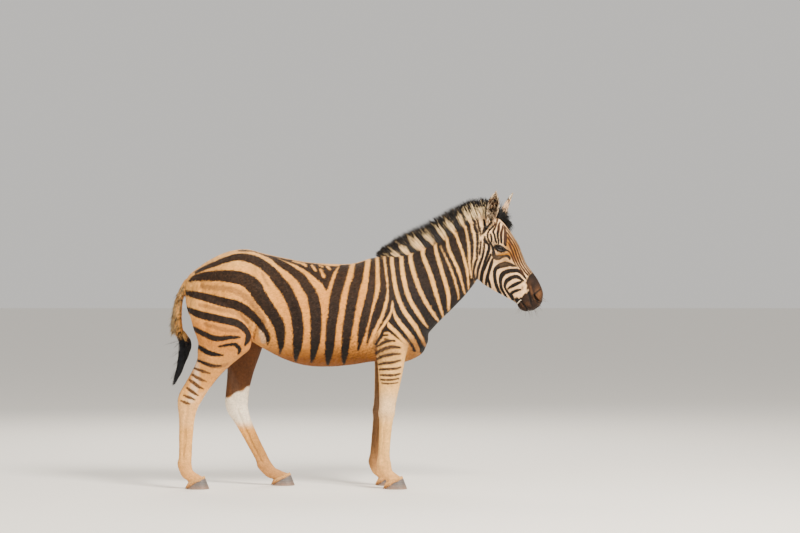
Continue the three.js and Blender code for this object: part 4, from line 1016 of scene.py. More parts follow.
# [share of the height, half breadth, depth, half angle of the opening in degrees]
EAR_ROWS = [
    [-0.14, 19, 20, 0], [0, 22, 23, 2], [0.1, 25, 26, 16], [0.2, 30, 27, 36], [0.33, 35.5, 26, 56],
    [0.47, 37.5, 23, 66], [0.6, 36.5, 19, 72], [0.74, 30.5, 14.5, 78], [0.86, 20.5, 10.5, 80],
    [0.94, 11, 7, 80], [0.985, 4.5, 4, 80], [1.0, 1.5, 2, 80],
]
EARS = {
    "right": {"root": [724, -50, 1434], "facing": -1.35, "forward": 0.2, "out": 0.14, "side": -1},
    "left": {"root": [786, 48, 1440], "facing": -0.1, "forward": 0.4, "out": -0.16, "side": 1},
}
EAR_WALL = 3.2
EAR_COAT = 1.5  # how far the ear's skin lies inside the outer face of its hair
EAR_RINGS, EAR_ROUND = 46, 44


def ear_sheet():
    """Outer and inner face of the rolled leaf, ring by ring from the root, as points of its own space."""
    outer, inner = [], []
    for share, half, depth, opening in evenly(EAR_ROWS, EAR_RINGS):
        turn = np.radians(np.linspace(opening, 360 - opening, EAR_ROUND))
        lip = 1 + 0.05 * smooth(25, 70, opening) * np.cos(turn * 0.5) ** 8
        for face, inset in ((outer, EAR_COAT), (inner, EAR_COAT + EAR_WALL)):
            a, b = max(depth - inset, 0.6), max(half - inset, 0.6)
            face.append(np.stack([a * np.cos(turn) * lip, b * np.sin(turn) * lip,
                                  np.full(EAR_ROUND, share * EAR_HEIGHT)], axis=1))
    return np.array(outer), np.array(inner)


def ear_matrix(ear):
    """Sets the ear on its root: turned to face its way, then tipped forward and out."""
    return np.array(Matrix.Translation(ear["root"]) @ Matrix.Rotation(ear["out"], 4, "X")
                    @ Matrix.Rotation(ear["forward"], 4, "Y") @ Matrix.Rotation(ear["facing"], 4, "Z"))


def moved(matrix, points):
    return points @ matrix[:3, :3].T + matrix[:3, 3]


# Across its back each ear has a dark band: [share of the height, half breadth, degrees from the front].
EAR_BAND = {-1: [0.64, 11, 150], 1: [0.73, 9, 20]}
EAR_DEGREE = 0.52  # mm to the degree, round the ear


def ear_marks(height, turn, inside, opening, side):
    """The ear's own markings, from the share of its height and the angle round it."""
    turn = np.where(side > 0, 360 - turn, turn)
    rim = np.minimum(turn - opening, 360 - opening - turn) * EAR_DEGREE
    outside = ~inside
    # black behind, up to the white tip, with a band across; a thin dark slot behind the front rim
    rear = np.minimum(turn - 186, 296 - turn) * EAR_DEGREE
    level, half, start = EAR_BAND[side]
    band = np.minimum(half - np.abs(height - level) * EAR_HEIGHT, turn - start)
    slot = np.minimum(4 - np.abs(rim - 9), 50 - np.abs(height - 0.5) * EAR_HEIGHT)
    slot = slot * (turn < 180) - 5 * (turn > 180)
    stripe = np.where(outside, np.maximum(np.maximum(rear, band), slot), -8)
    stripe = np.where(outside & (height > 0.84), -8, stripe)
    ground = np.tile((TAN if side > 0 else CREAM) * 0.55 + 0.45 * WHITE, (len(height), 1))
    ground[outside & (height > 0.8)] = WHITE
    deep = inside * smooth(4, 9, rim) * smooth(0.99, 0.9, height) * smooth(-0.1, 0.1, height)
    deep *= 1 - 0.4 * smooth(0.42, 0.2, height) * smooth(150, 90, turn)
    return stripe, ground, deep


# The cup's skin is dark, and its darker colour is also painted shade deep in the cup.
CUP_BROWN, CUP_DARK_AND_SHADOW = colour("#553219"), colour("#180b05")  # bare skin deep in the cup, mottled
ear_pieces = []
for name, ear in EARS.items():
    outer, inner = ear_sheet()
    shell = np.concatenate([outer, inner[:, ::-1]], axis=1)  # once round outside, then back inside
    points, faces = tube_of(shell)
    local = np.array(points)
    placed = moved(ear_matrix(ear), local)
    opening = evenly(EAR_ROWS, EAR_RINGS)[:, 3]
    turn = np.linspace(opening, 360 - opening, EAR_ROUND, axis=1)
    turn = np.concatenate([turn, turn[:, ::-1]], axis=1).ravel()
    inside = np.tile(np.arange(2 * EAR_ROUND) >= EAR_ROUND, EAR_RINGS)
    ear_piece = put("ear_skin_" + name, placed * MM, faces)
    worked(ear_piece.data, turn_outwards)
    height = local[:, 2] / EAR_HEIGHT
    stripe, ground, deep = ear_marks(height, turn, inside, np.repeat(opening, 2 * EAR_ROUND), ear["side"])
    # The cup's skin is mottled, and painted shade makes it darker towards the bottom of the cup.
    mottled = mix(CUP_BROWN, CUP_DARK_AND_SHADOW, 0.5 + 0.6 * ripple(placed, 26, 61) + 0.5 * smooth(0.6, 0.3, height))
    ground = ground + (mottled - ground) * (0.95 * deep)[:, None]
    # The burr carries the head's own stripes.
    on_head = np.full(len(local), FORM_NAMES.index("head"))
    outward = np.tile([0.0, ear["side"], 0.0], (len(local), 1))
    head_stripe, head_ground, _ = marks(placed, outward, on_head, settle(placed)[1])
    low = smooth(0.14, 0.06, height) * ~inside
    stripe, ground = stripe + (head_stripe - stripe) * low, ground + (head_ground - ground) * low[:, None]
    lay_marks(ear_piece.data, stripe, ground, BLACK)
    ear_piece.data.shade_smooth()
    ear_piece.data.materials.append(hide)
    ear_pieces.append(ear_piece)
with bpy.context.temp_override(active_object=skin, selected_editable_objects=[skin, *ear_pieces]):
    bpy.ops.object.join()

# ---- Eyes ----
# A wet ball, nearly black: dark brown iris round a long level pupil, under a clear bulging cornea.
# It is set in the socket as a glass eye is, so that only the part between the lids shows.
PUPIL = (7.5, 4.2)  # half length and half height
IRIS = (14.5, 13)
IRIS_BROWN, EYE_BLACK = colour("#1f120a"), colour("#0b0706")


def eyeball(side):
    polar = np.linspace(0.004, np.pi - 0.004, 40)[:, None]
    turn = 2 * np.pi * np.arange(64)[None] / 64
    ball = np.stack([np.sin(polar) * np.cos(turn), side * np.cos(polar) + 0 * turn,
                     np.sin(polar) * np.sin(turn)], axis=2)
    bulge = 1 + 0.035 * np.exp(-((polar / 0.62) ** 4))
    ball = ball * (EYE["radius"] - 0.9) * bulge[..., None]
    c, s = math.cos(EYE["lean"] * 0.35), math.sin(EYE["lean"] * 0.35)
    wide, tall = ball[..., 0] * c + ball[..., 2] * s, ball[..., 2] * c - ball[..., 0] * s
    rings = (ball + [EYE["x"], side * EYE["out"], EYE["z"]]) * MM
    piece = joined_tubes("eye_ball_" + ("left" if side > 0 else "right"), [rings])
    pupil = 1 - np.hypot(wide / PUPIL[0], tall / PUPIL[1]).ravel()
    iris = 1 - np.hypot(wide / IRIS[0], tall / IRIS[1]).ravel()
    tint = mix(EYE_BLACK, IRIS_BROWN, smooth(-0.05, 0.08, iris))
    lay_colours(piece.data, "iris", tint * (1 - 0.97 * smooth(-0.15, 0.1, pupil))[:, None])
    piece.data.shade_smooth()
    return piece


# Clear cornea over a dark iris: the sharpest gloss on the animal.
cornea, tree, shader = surface("wet_cornea", {
    "Roughness": 0.06, "IOR": 1.3, "Coat Weight": 0.15, "Coat Roughness": 0.02})
iris = add(tree, "Attribute", {}, "Color", attribute_name="iris")
# The iris's threads are 0.1 mm thick, too fine to show, and are drawn 1.1 mm apart.
place = add(tree, "TexCoord", {}, "Object")
streaks = add(tree, "TexNoise", {"Vector": place, "Scale": every(1.1), "Detail": 2.0}, "Fac")
streaks = add(tree, "MapRange", {"Value": streaks, "To Min": 0.7, "To Max": 1.25})
veined = add(tree, "VectorMath", {0: iris, "Scale": streaks}, operation="SCALE")
tree.links.new(veined, shader.inputs["Base Color"])
for side in (-1, 1):
    ball = eyeball(side)
    ball.data.materials.append(cornea)
    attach(ball, "root")
    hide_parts("eye_left" if side > 0 else "eye_right")

# ---- Lids and lashes ----
# A rim of bare black skin edges both lids and meets in the corners; the front corner runs out in a point.
# Stiff dark lashes stand out level from the upper rim and are few and short below.
LASHES = [[46, True, 13], [20, False, 7]]  # how many, whether on the upper lid, and their length


def lid_curve(side, share, upper):
    """A point on the rim of a lid, from the rear corner to the front one, on the lids' dome."""
    along = (share - 0.5) * (EYE["length"] + 2)
    tall = 0.5 * EYE["height"] * (1 if upper else -0.8) * (1 - (2 * share - 1) ** 2)
    c, s = math.cos(EYE["lean"]), math.sin(EYE["lean"])
    dx, dz = along * c - tall * s, along * s + tall * c
    dome = EYE["radius"] + 1.2
    dy = math.sqrt(max(dome ** 2 - dx ** 2 - dz ** 2, 4))
    return np.array([EYE["x"] + dx, side * (EYE["out"] + dy), EYE["z"] + dz])


def rod(line, radii, sides):
    """Rings round a bending line, for a smooth rod of changing thickness."""
    line = np.asarray(line, float)
    way = np.gradient(line, axis=0)
    way /= np.linalg.norm(way, axis=1)[:, None] + 1e-9
    up = np.cross(way, np.cross([0.1, 0.2, 1.0], way))
    up /= np.linalg.norm(up, axis=1)[:, None] + 1e-9
    across = np.cross(way, up)
    turn = 2 * np.pi * np.arange(sides) / sides
    radii = np.asarray(radii)[:, None, None]
    return (line[:, None] + radii * (np.cos(turn)[None, :, None] * across[:, None]
                                     + np.sin(turn)[None, :, None] * up[:, None])) * MM


# Bare skin, black and moist: a soft shine along the rim. Its pores are 0.8 mm apart.
rim_skin, tree, shader = surface("bare_black_skin", {"Roughness": 0.42})
place = add(tree, "TexCoord", {}, "Object")
pores = add(tree, "TexNoise", {"Vector": place, "Scale": every(0.8), "Detail": 3.0}, "Fac")
tone = add(tree, "ValToRGB", {"Fac": pores}, "Color")
for stop, code in zip(tone.node.color_ramp.elements, ("#120d0c", "#271a12")):
    stop.color = (*colour(code), 1)
tree.links.new(tone, shader.inputs["Base Color"])
wrinkles = add(tree, "Bump", {"Height": pores, "Strength": 0.3, "Distance": 0.8 * MM})
tree.links.new(wrinkles, shader.inputs["Normal"])
draw = np.random.default_rng(31)
for side in (-1, 1):
    tubes = []
    shares = np.linspace(0, 1, 26)
    swell_rim = 1.2 + 1.5 * np.sin(np.pi * shares)
    for upper in (True, False):
        line = [lid_curve(side, t, upper) for t in shares]
        tubes.append(rod(line, swell_rim * (1.25 if upper else 1.0), 10))
    front = lid_curve(side, 1.0, True)
    tubes.append(rod([front, front + [4, -side * 1.5, -3.4], front + [7, -side * 3.5, -6]], [2, 1.4, 0.5], 8))
    for count, upper, length in LASHES:
        for i in range(count):
            t = 0.12 + 0.8 * (i + draw.uniform(0, 1)) / count
            root = lid_curve(side, t, upper)
            out = np.array([0.5 * (t - 0.45), side, 0.38 if upper else -0.4]) + draw.normal(0, 0.08, 3)
            long = length * draw.uniform(0.75, 1.1) * math.sin(np.pi * t) ** 0.4
            steps = np.linspace(0, 1, 5)[:, None]
            line = root + steps * out * long + steps ** 2 * np.array([0, 0, 0.25 if upper else 0.1]) * long
            tubes.append(rod(line, [0.55, 0.5, 0.4, 0.28, 0.08], 4))
    lids = joined_tubes("eyelids_" + ("left" if side > 0 else "right"), tubes)
    lids.data.shade_smooth()
    lids.data.materials.append(rim_skin)
    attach(lids, "root")
    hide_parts("head")

# ---- Hooves ----
# Horn grown down from the coronet in rings, one hoof on each toe, worn flat on the ground.
# The wall leans forward at the toe, is upright at the heels, and is dusty near the ground.
HOOF_SPREAD = {"toe": 27, "heel": 9, "half": 11}
# [share of the drop from coronet to ground, share of the spread] down the wall
HOOF_WALL = [
    [0, 0.0], [0.02, 0.1], [0.07, 0.2], [0.12, 0.28], [0.3, 0.43], [0.5, 0.6], [0.72, 0.8], [0.9, 0.95],
    [0.97, 1.0], [1.0, 0.97],
]
GROWTH_RINGS = {"radians": 62, "high": 0.45, "inset": 0.6}  # ten ridges down the wall


def hoof_rings(joints, side):
    x, y, z = joints[-1]
    rows = []
    for drop, spread in evenly(HOOF_WALL, 46):
        drop = min(max(drop, 0), 1)
        ridge = GROWTH_RINGS["high"] * math.sin(drop * GROWTH_RINGS["radians"]) * (1 - abs(2 * drop - 1) ** 6)
        out = ridge - GROWTH_RINGS["inset"]
        rows.append([x - CORONET["reach"] - HOOF_SPREAD["heel"] * spread - out,
                     (z - CORONET["rise"]) * (1 - drop),
                     x + CORONET["reach"] + HOOF_SPREAD["toe"] * spread + out,
                     (z + CORONET["rise"]) * (1 - drop), side * y,
                     CORONET["half"] + HOOF_SPREAD["half"] * spread + out, 0.5, 2.4, 2.2])
    return rings_of(np.array(rows), 72, 0.0)


# Horn: grey-brown keratin, grown in rings and scratched by sand; half dull.
horn, tree, shader = surface("hoof_horn", {"Roughness": 0.5})
place = add(tree, "TexCoord", {}, "Object")
# Grey and brown rings are 12 mm apart; a wave pattern has 20 radians to the unit.
rings = add(tree, "TexWave", {"Vector": place, "Scale": every(12.083) * math.pi / 10, "Distortion": 1.6,
                              "Detail": 2.0, "Detail Scale": 2.0}, "Fac", bands_direction="Z")
# The horn's tubes, 0.2 mm thick, are too fine to show, and run down the wall as fibres 1.4 mm apart.
squeezed = add(tree, "Mapping", {"Vector": place, "Scale": (1.0, 1.0, 0.12)})
fibres = add(tree, "TexNoise", {"Vector": squeezed, "Scale": every(1.4286), "Detail": 3.0}, "Fac")
# Sand clings to the lowest 30 mm, in patches 17 mm apart.
height = add(tree, "SeparateXYZ", {0: place}, "Z")
dust = add(tree, "MapRange", {"Value": height, "From Min": 0.0, "From Max": 30 * MM, "To Min": 0.75,
                              "To Max": 0.0})
patchy = add(tree, "TexNoise", {"Vector": place, "Scale": every(16.667), "Detail": 4.0}, "Fac")
dusty = add(tree, "Math", {0: dust, 1: patchy}, operation="MULTIPLY")
tone = add(tree, "ValToRGB", {"Fac": fibres}, "Color")
for stop, at, code in zip(tone.node.color_ramp.elements, (0.3, 0.75), ("#3d3836", "#8b827d")):
    stop.position = at
    stop.color = (*colour(code), 1)
banded = add(tree, "Mix", {0: rings, 6: (*colour("#5b5452"), 1), 7: tone}, 2, data_type="RGBA")
sandy = add(tree, "Mix", {0: dusty, 6: banded, 7: (*colour("#b98a66"), 1)}, 2, data_type="RGBA")
tree.links.new(sandy, shader.inputs["Base Color"])
both = add(tree, "Math", {0: rings, 1: fibres}, operation="ADD")
relief = add(tree, "Bump", {"Height": both, "Strength": 0.35, "Distance": 1.0 * MM})
tree.links.new(relief, shader.inputs["Normal"])
for kind, table in (("fore", FORE_JOINTS), ("hind", HIND_JOINTS)):
    for side, word in ((-1, "right"), (1, "left")):
        hoof = joined_tubes(kind + "_hoof_wall_" + word, [hoof_rings(table[side], side)])
        hoof.data.shade_smooth()
        hoof.data.materials.append(horn)
        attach(hoof, "root")
        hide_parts(kind + "hoof_" + word)

# ---- Coat ----
# Short dense summer hair, glossy only in the mass, lying back along the trunk and down the limbs.
# Tufts of it are laid over the hide like thatch: finest on face and feet, curly at elbow and flank.
# [length, breadth, lift of the tip] of a tuft, and tufts to the square metre, for each form
TUFT = {
    "trunk": [17, 5.2, 1.6, 30000], "neck": [15, 4.8, 1.6, 36000], "head": [7.5, 2.8, 0.6, 110000],
    "dock": [20, 4.5, 3.0, 60000], "fore": [10, 3.8, 0.9, 42000], "hind": [11, 4.0, 1.0, 36000],
}


def scattered(mesh, per_metre, draw):
    """Random places on a mesh's faces, so many to the square metre, with the normal there."""
    mesh.calc_loop_triangles()
    count = len(mesh.loop_triangles)
    corners = np.empty(count * 3, np.int32)
    mesh.loop_triangles.foreach_get("vertices", corners)
    corners = corners.reshape(-1, 3)
    at, normals = read(mesh)
    a, b, c = at[corners[:, 0]], at[corners[:, 1]], at[corners[:, 2]]
    area = np.linalg.norm(np.cross(b - a, c - a), axis=1) / 2 * MM * MM
    wanted = per_metre(corners) * area
    many = np.floor(wanted + draw.random(count)).astype(int)
    pick = np.repeat(np.arange(count), many)
    u, v = draw.random(len(pick)), draw.random(len(pick))
    fold = u + v > 1
    u[fold], v[fold] = 1 - u[fold], 1 - v[fold]
    w = 1 - u - v
    corner = corners[pick]
    places = a[pick] * w[:, None] + b[pick] * u[:, None] + c[pick] * v[:, None]
    slant = normals[corner[:, 0]] * w[:, None] + normals[corner[:, 1]] * u[:, None]
    slant = slant + normals[corner[:, 2]] * v[:, None]
    return places, slant / np.linalg.norm(slant, axis=1)[:, None], corner[:, 0]


LIE = {
    "trunk": [-1, 0, -0.3], "neck": [-0.8, 0, -0.65], "head": [0.25, 0, -1], "dock": [-0.25, 0, -1],
    "fore_right": [-0.12, 0, -1], "fore_left": [-0.12, 0, -1],
    "hind_right": [-0.3, 0, -1], "hind_left": [-0.1, 0, -1],
}
LIE_RUMP, LIE_SHOULDER = [-0.5, 0, -0.9], [-0.45, 0, -0.85]
LIE_POLL, LIE_CHEEK, LIE_NOSE = [-0.5, 0, 0.9], [-0.7, 0, -0.7], [0.52, 0, -0.85]


def lie_of(places, form):
    """The way the hair points at each place."""
    x, y, z = places.T
    way = np.array([LIE[name] for name in FORM_NAMES], float)[form]
    on_trunk, on_head = is_form(form, "trunk"), is_form(form, "head")
    for other, share in ((LIE_RUMP, on_trunk * smooth(-520, -820, x)),
                         (LIE_SHOULDER, on_trunk * smooth(80, 260, x)),
                         (LIE_POLL, on_head * smooth(1320, 1400, z)),
                         (LIE_CHEEK, on_head * smooth(820, 740, x) * smooth(1360, 1300, z))):
        way = mix(way, np.array(other), share)
    way[:, 1] += np.sign(y) * 0.12
    return way


def unwrap_of(form, row, angle, chosen):
    """Each place's spot on the opened-out skin of its form: along it, and round it."""
    last = np.array([len(FORMS[name]) - 1 for name in FORM_NAMES])[form]
    along, round_it = row / last, (angle / (2 * np.pi)) % 1.0
    lanes = len(chosen)
    lane = np.zeros(len(form))
    for i, index in enumerate(chosen):
        lane[form == index] = i
    return np.stack([0.01 + 0.98 * along, (lane + 0.02 + 0.96 * round_it) / lanes], axis=1)


PATCH = 0.003  # side of one tuft's patch on the opened-out skin


def lay_patches(mesh, spots, offsets):
    """Writes the OFBake map: the tuft's spot on the opened-out skin, spread over its small patch."""
    layer = mesh.uv_layers.new(name="OFBake")
    index = np.empty(len(mesh.loops), np.int32)
    mesh.loops.foreach_get("vertex_index", index)
    each = len(offsets)
    spot = np.clip(spots, PATCH, 1 - PATCH)[index // each] + PATCH * np.asarray(offsets)[index % each]
    layer.data.foreach_set("uv", spot.astype(np.float32).ravel())


def solid_mesh(name, points, faces):
    """A mesh from arrays of points in mm and of faces with one count of corners."""
    mesh = bpy.data.meshes.new(name)
    mesh.vertices.add(len(points))
    mesh.vertices.foreach_set("co", (points * MM).astype(np.float32).ravel())
    mesh.loops.add(faces.size)
    mesh.loops.foreach_set("vertex_index", faces.astype(np.int32).ravel())
    mesh.polygons.add(len(faces))
    mesh.polygons.foreach_set("loop_start", np.arange(0, faces.size, faces.shape[1], dtype=np.int32))
    mesh.update(calc_edges=True)
    return placed_piece(name, mesh)


def laid_tufts(name, roots, slants, ways, long, broad, lift, draw):
    """Flat slivers with a low ridge, rooted under the skin, whose tips rise a little."""
    flat_way = ways - slants * (ways * slants).sum(1)[:, None]
    flat_way /= np.linalg.norm(flat_way, axis=1)[:, None] + 1e-9
    across = np.cross(slants, flat_way)
    long, broad, lift = long[:, None], broad[:, None], lift[:, None]
    sunk = roots - slants * 0.7
    left, right = sunk + across * broad / 2, sunk - across * broad / 2
    ridge = roots + flat_way * long * 0.42 + slants * (0.55 + 0.45 * lift)
    tip = roots + flat_way * long + slants * lift + across * long * draw.normal(0, 0.05, (len(roots), 1))
    points = np.stack([left, right, ridge, tip], axis=1).reshape(-1, 3)
    base = 4 * np.arange(len(roots))[:, None]
    one = np.array([[0, 1, 2], [1, 3, 2], [3, 0, 2], [1, 0, 3]])
    piece = solid_mesh(name, points, (base[:, None] + one[None]).reshape(-1, 3))
    leaning = slants + 0.22 * draw.normal(size=slants.shape)
    leaning /= np.linalg.norm(leaning, axis=1)[:, None]
    fanned = [leaning + 0.25 * across, leaning - 0.25 * across, leaning, leaning + 0.2 * flat_way]
    fanned = np.stack(fanned, 1).reshape(-1, 3)
    piece.data.polygons.foreach_set("use_smooth", np.ones(4 * len(roots), bool))
    fanned /= np.linalg.norm(fanned, axis=1)[:, None]
    piece.data.normals_split_custom_set_from_vertices(fanned.tolist())
    return piece


# Tufts of short hair: the same markings as the hide, a shade lighter or darker tuft by tuft.
coat_hair = hair_material("zebra_coat", BACKWARDS, 0.66)
draw = np.random.default_rng(12)
per_form = np.array([TUFT[name.split("_")[0]] for name in FORM_NAMES])
skin_places, skin_normals = read(skin.data)
skin_form, _, _ = settle(skin_places)


def density(corners):
    """Tufts to the square metre: none between the lids, and more of them on the lower legs."""
    at = skin_places[corners[:, 0]]
    kind = skin_form[corners[:, 0]]
    many = per_form[kind, 3]
    along, across = turned(at[:, [0, 2]], EYE["x"], EYE["z"], EYE["lean"])
    bare = (at[:, 0] > 700) & ((along / 25) ** 2 + (across / 15) ** 2 < 1)
    many = np.where((at[:, 2] < 330), many * 1.5, many)
    return np.where(bare, 0, many)


roots, slants, corner = scattered(skin.data, density, draw)
on_ear = corner >= body_points
form_at, row_at_root, angle_at = settle(roots)
on_head = is_form(form_at, "head")
long, broad, lift = (per_form[form_at, k] for k in range(3))
low = smooth(420, 250, roots[:, 2])
long, broad = long * (1 - 0.3 * low), broad * (1 - 0.2 * low)
muzzle = (roots[:, 0] > 925) & (roots[:, 2] < 1180)
# The finest hair lies down the front of the face, in line with its long stripes.
nose = on_head & (roots[:, 2] > 1130) & (roots[:, 2] < 1420)
nose &= back_of_nose(roots[:, [0, 2]]) < 80
long, broad = np.where(nose, 6.0, long), np.where(nose, 1.9, broad)
long = np.where(muzzle, 3.2, long)
rear_of_dock = is_form(form_at, "dock") & (slants[:, 0] < -0.1) & (roots[:, 2] < 1060)
long, lift = long * (1 + 0.8 * rear_of_dock), lift + 7 * rear_of_dock
# Behind the elbow and before the stifle the hair is longer and curls.
side_view = roots[:, [0, 2]]
woolly = np.maximum(spot(side_view, 10, 765, 95, 70), 0.8 * spot(side_view, -470, 790, 60, 60))
woolly *= is_form(form_at, "trunk")
ways = lie_of(roots, form_at)
ways[on_ear] = [0.2, 0, 1]
ways[nose] = LIE_NOSE
ways = ways + (0.1 - 0.06 * nose + 0.75 * woolly)[:, None] * draw.normal(size=ways.shape)
vary = draw.uniform(0.75, 1.2, len(roots))
long, lift = long * vary * (1 + 0.25 * woolly), lift * draw.uniform(0.5, 1.3, len(roots)) + 3.5 * woolly
# A tuft takes the colour of the skin under its middle, so that the stripes keep their places.
flat_ways = ways - slants * (ways * slants).sum(1)[:, None]
middles = roots + flat_ways / np.linalg.norm(flat_ways, axis=1)[:, None] * (0.55 * long)[:, None]
stripe, ground, ink = marks(middles, slants, form_at, row_at_root)
for values, name, width in ((stripe, "stripe", 1), (ground, "ground", 4), (ink, "ink", 4)):
    stored = np.empty(len(skin_places) * width, np.float32)
    skin.data.attributes[name].data.foreach_get("value" if width == 1 else "color", stored)
    stored = stored.reshape(-1, width)[corner[on_ear]]
    values[on_ear] = stored[:, 0] if width == 1 else stored[:, :3]
shade = draw.normal(1, 0.07, len(roots))[:, None]
ground, ink = ground * shade, ink * (shade + draw.uniform(0, 0.5, len(roots))[:, None])
stripe = stripe + draw.normal(0, 1.5, len(roots))
COAT_PIECES = {
    "coat_flank_right": (["trunk"], -1), "coat_flank_left": (["trunk"], 1), "coat_neck": (["neck"], 0),
    "coat_head_right": (["head"], -1), "coat_head_left": (["head"], 1),
    "coat_dock": (["dock"], 0), "coat_forelegs": (["fore_right", "fore_left"], 0),
    "coat_hindlegs": (["hind_right", "hind_left"], 0),
}
POINTS = 4  # of one tuft
for name, (kinds, side) in COAT_PIECES.items():
    chosen = [FORM_NAMES.index(kind) for kind in kinds]
    here = np.isin(form_at, chosen) & (roots[:, 1] * side >= 0)
    piece = laid_tufts(name, roots[here], slants[here], ways[here], long[here], broad[here], lift[here], draw)
    lay_marks(piece.data, *(np.repeat(values[here], POINTS, axis=0) for values in (stripe, ground, ink)))
    spots = unwrap_of(form_at[here], row_at_root[here], angle_at[here], chosen)
    lay_patches(piece.data, spots, [[-0.5, -0.5], [0.5, -0.5], [0.0, 0.1], [0.0, 0.5]])
    piece.data.materials.append(coat_hair)
    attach(piece, "root")
    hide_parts("torso")

# ---- Mane and forelock ----
# Coarse hair that stands up from the crest like a brush and leans back, cream and black in the neck's
# own stripes with black tips. The forelock is all black and falls forward over the brow in a wisp.
# Evenly along the crest from the withers to the poll: [length of the hair, lean back in radians]
MANE = [
    [50, 0.9], [98, 0.88], [128, 0.77], [134, 0.7], [132, 0.62], [122, 0.51], [112, 0.37], [104, 0.12],
]
MANE_FROM = 0.09  # share of the neck where it begins
MANE_HALF = 21  # half its breadth on the crest
MANE_TIP = 36  # length of the black tips
MANE_STRANDS = 4200
ALL_DARK, ALL_PALE = 9.0, -9.0  # depths in a stripe at which a hair is one colour throughout


def strands(name, roots, ways, bends, widths, thicks, steps, spots):
    """Many flat tapering locks of three sides, ring by ring from the root to a point, and each point's
    share of the way along its own lock."""
    n = len(roots)
    t = np.linspace(0, 1, steps + 1)[None, :, None]
    line = roots[:, None] + ways[:, None] * t + bends[:, None] * t ** 2
    along = ways[:, None] + 2 * t * bends[:, None]
    along = along / (np.linalg.norm(along, axis=2, keepdims=True) + 1e-9)
    side = np.cross(along, [0.13, 1.0, 0.09])
    side /= np.linalg.norm(side, axis=2, keepdims=True) + 1e-9
    thin = np.cross(side, along)
    taper = (0.55 + 0.45 * np.minimum(t * 4, 1)) * (1 - t ** 2.2) + 0.03
    w, h = widths[:, None, None] / 2 * taper, thicks[:, None, None] / 2 * taper
    ring = np.stack([line + side * w, line - side * w * 0.5 + thin * h, line - side * w * 0.5 - thin * h], 2)
    points = ring.reshape(-1, 3)
    each = 3 * (steps + 1)
    faces = []
    for r in range(steps):
        for k in range(3):
            a, b = 3 * r + k, 3 * r + (k + 1) % 3
            faces += [[a, b, b + 3], [a, b + 3, a + 3]]
    faces += [[2, 1, 0], [each - 3, each - 2, each - 1]]
    base = each * np.arange(n)[:, None, None]
    piece = solid_mesh(name, points, (base + np.array(faces)[None]).reshape(-1, 3))
    piece.data.polygons.foreach_set("use_smooth", np.ones(len(faces) * n, bool))
    offsets = [[(-0.5, 0.5, 0.0)[k], r / steps - 0.5] for r in range(steps + 1) for k in range(3)]
    lay_patches(piece.data, spots, offsets)
    piece.data.materials.append(mane_hair)
    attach(piece, "root")
    return piece, np.tile(np.repeat(np.linspace(0, 1, steps + 1), 3), n)


def per_point(values, share):
    """What each hair has, given to every point of it."""
    return np.repeat(values, len(share) // len(values), axis=0)


def crest_at(t):
    """Place on the crest, and length and lean of the mane there, from the withers at 0 to the poll at 1."""
    u = (MANE_FROM + (1 - MANE_FROM) * t) * (len(NECK) - 1)
    x, z = row_at(NECK, u)[:, :2].T
    long, lean = row_at(MANE, t * (len(MANE) - 1)).T
    return x, z, long, lean


# Long coarse hair: smoother and shinier than the coat, each strand its own shade.
UPRIGHT = (1.0, 1.0, 0.2)
mane_hair = hair_material("mane_hair", UPRIGHT, 0.5)
draw = np.random.default_rng(41)
t = np.clip((np.arange(MANE_STRANDS) + draw.random(MANE_STRANDS)) / MANE_STRANDS, 0, 1)
x, z, long, lean = crest_at(t)
off = draw.uniform(-1, 1, MANE_STRANDS)
lean = lean + draw.normal(0, 0.06, MANE_STRANDS)
reach = long * draw.uniform(0.72, 1.03, MANE_STRANDS) * (1 - 0.1 * np.abs(off)) + 14 + 18 * off ** 2
way = np.stack([-np.sin(lean), draw.normal(0, 0.03, MANE_STRANDS) - 0.1 * off, np.cos(lean)], 1)
roots = np.stack([x, MANE_HALF * off, z - 24 * off ** 2], 1) - way * 12
bend = np.stack([draw.normal(-3, 3, MANE_STRANDS), draw.normal(0, 4, MANE_STRANDS),
                 draw.normal(-1, 2, MANE_STRANDS)], 1)
crest_spots = np.stack([0.01 + 0.98 * t, 0.5 + 0.3 * off], 1)
mane, share = strands("mane", roots, way * reach[:, None], bend, draw.uniform(4, 7, MANE_STRANDS),
                      draw.uniform(1.4, 2.4, MANE_STRANDS), 5, crest_spots)
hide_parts("neck")
# A lock starts in the colour of the neck at its root; pale bands widen upwards and end in black tips.
MANE_CREAM = colour("#e6d3a4")
foot = np.stack([x, np.full(MANE_STRANDS, -24.0), z - 12], 1)
facing = np.tile([0.0, -0.9, 0.4], (MANE_STRANDS, 1))
stripe, ground, _ = marks(foot, facing, np.full(MANE_STRANDS, FORM_NAMES.index("neck")), t)
stripe = per_point(stripe + draw.normal(0, 3, MANE_STRANDS), share) - 7 * smooth(0.12, 0.45, share)
stripe = np.where(per_point(t < 0.05, share), 8, stripe)
tip = share * per_point(reach, share) - per_point(reach - MANE_TIP + draw.normal(0, 13, MANE_STRANDS), share)
tone = per_point(draw.normal(1, 0.12, MANE_STRANDS), share)[:, None]
ground = mix(per_point(ground, share), MANE_CREAM, 0.6 * smooth(0.1, 0.4, share))
lay_marks(mane.data, np.maximum(stripe, tip), ground * tone, BLACK * (tone + 0.3))

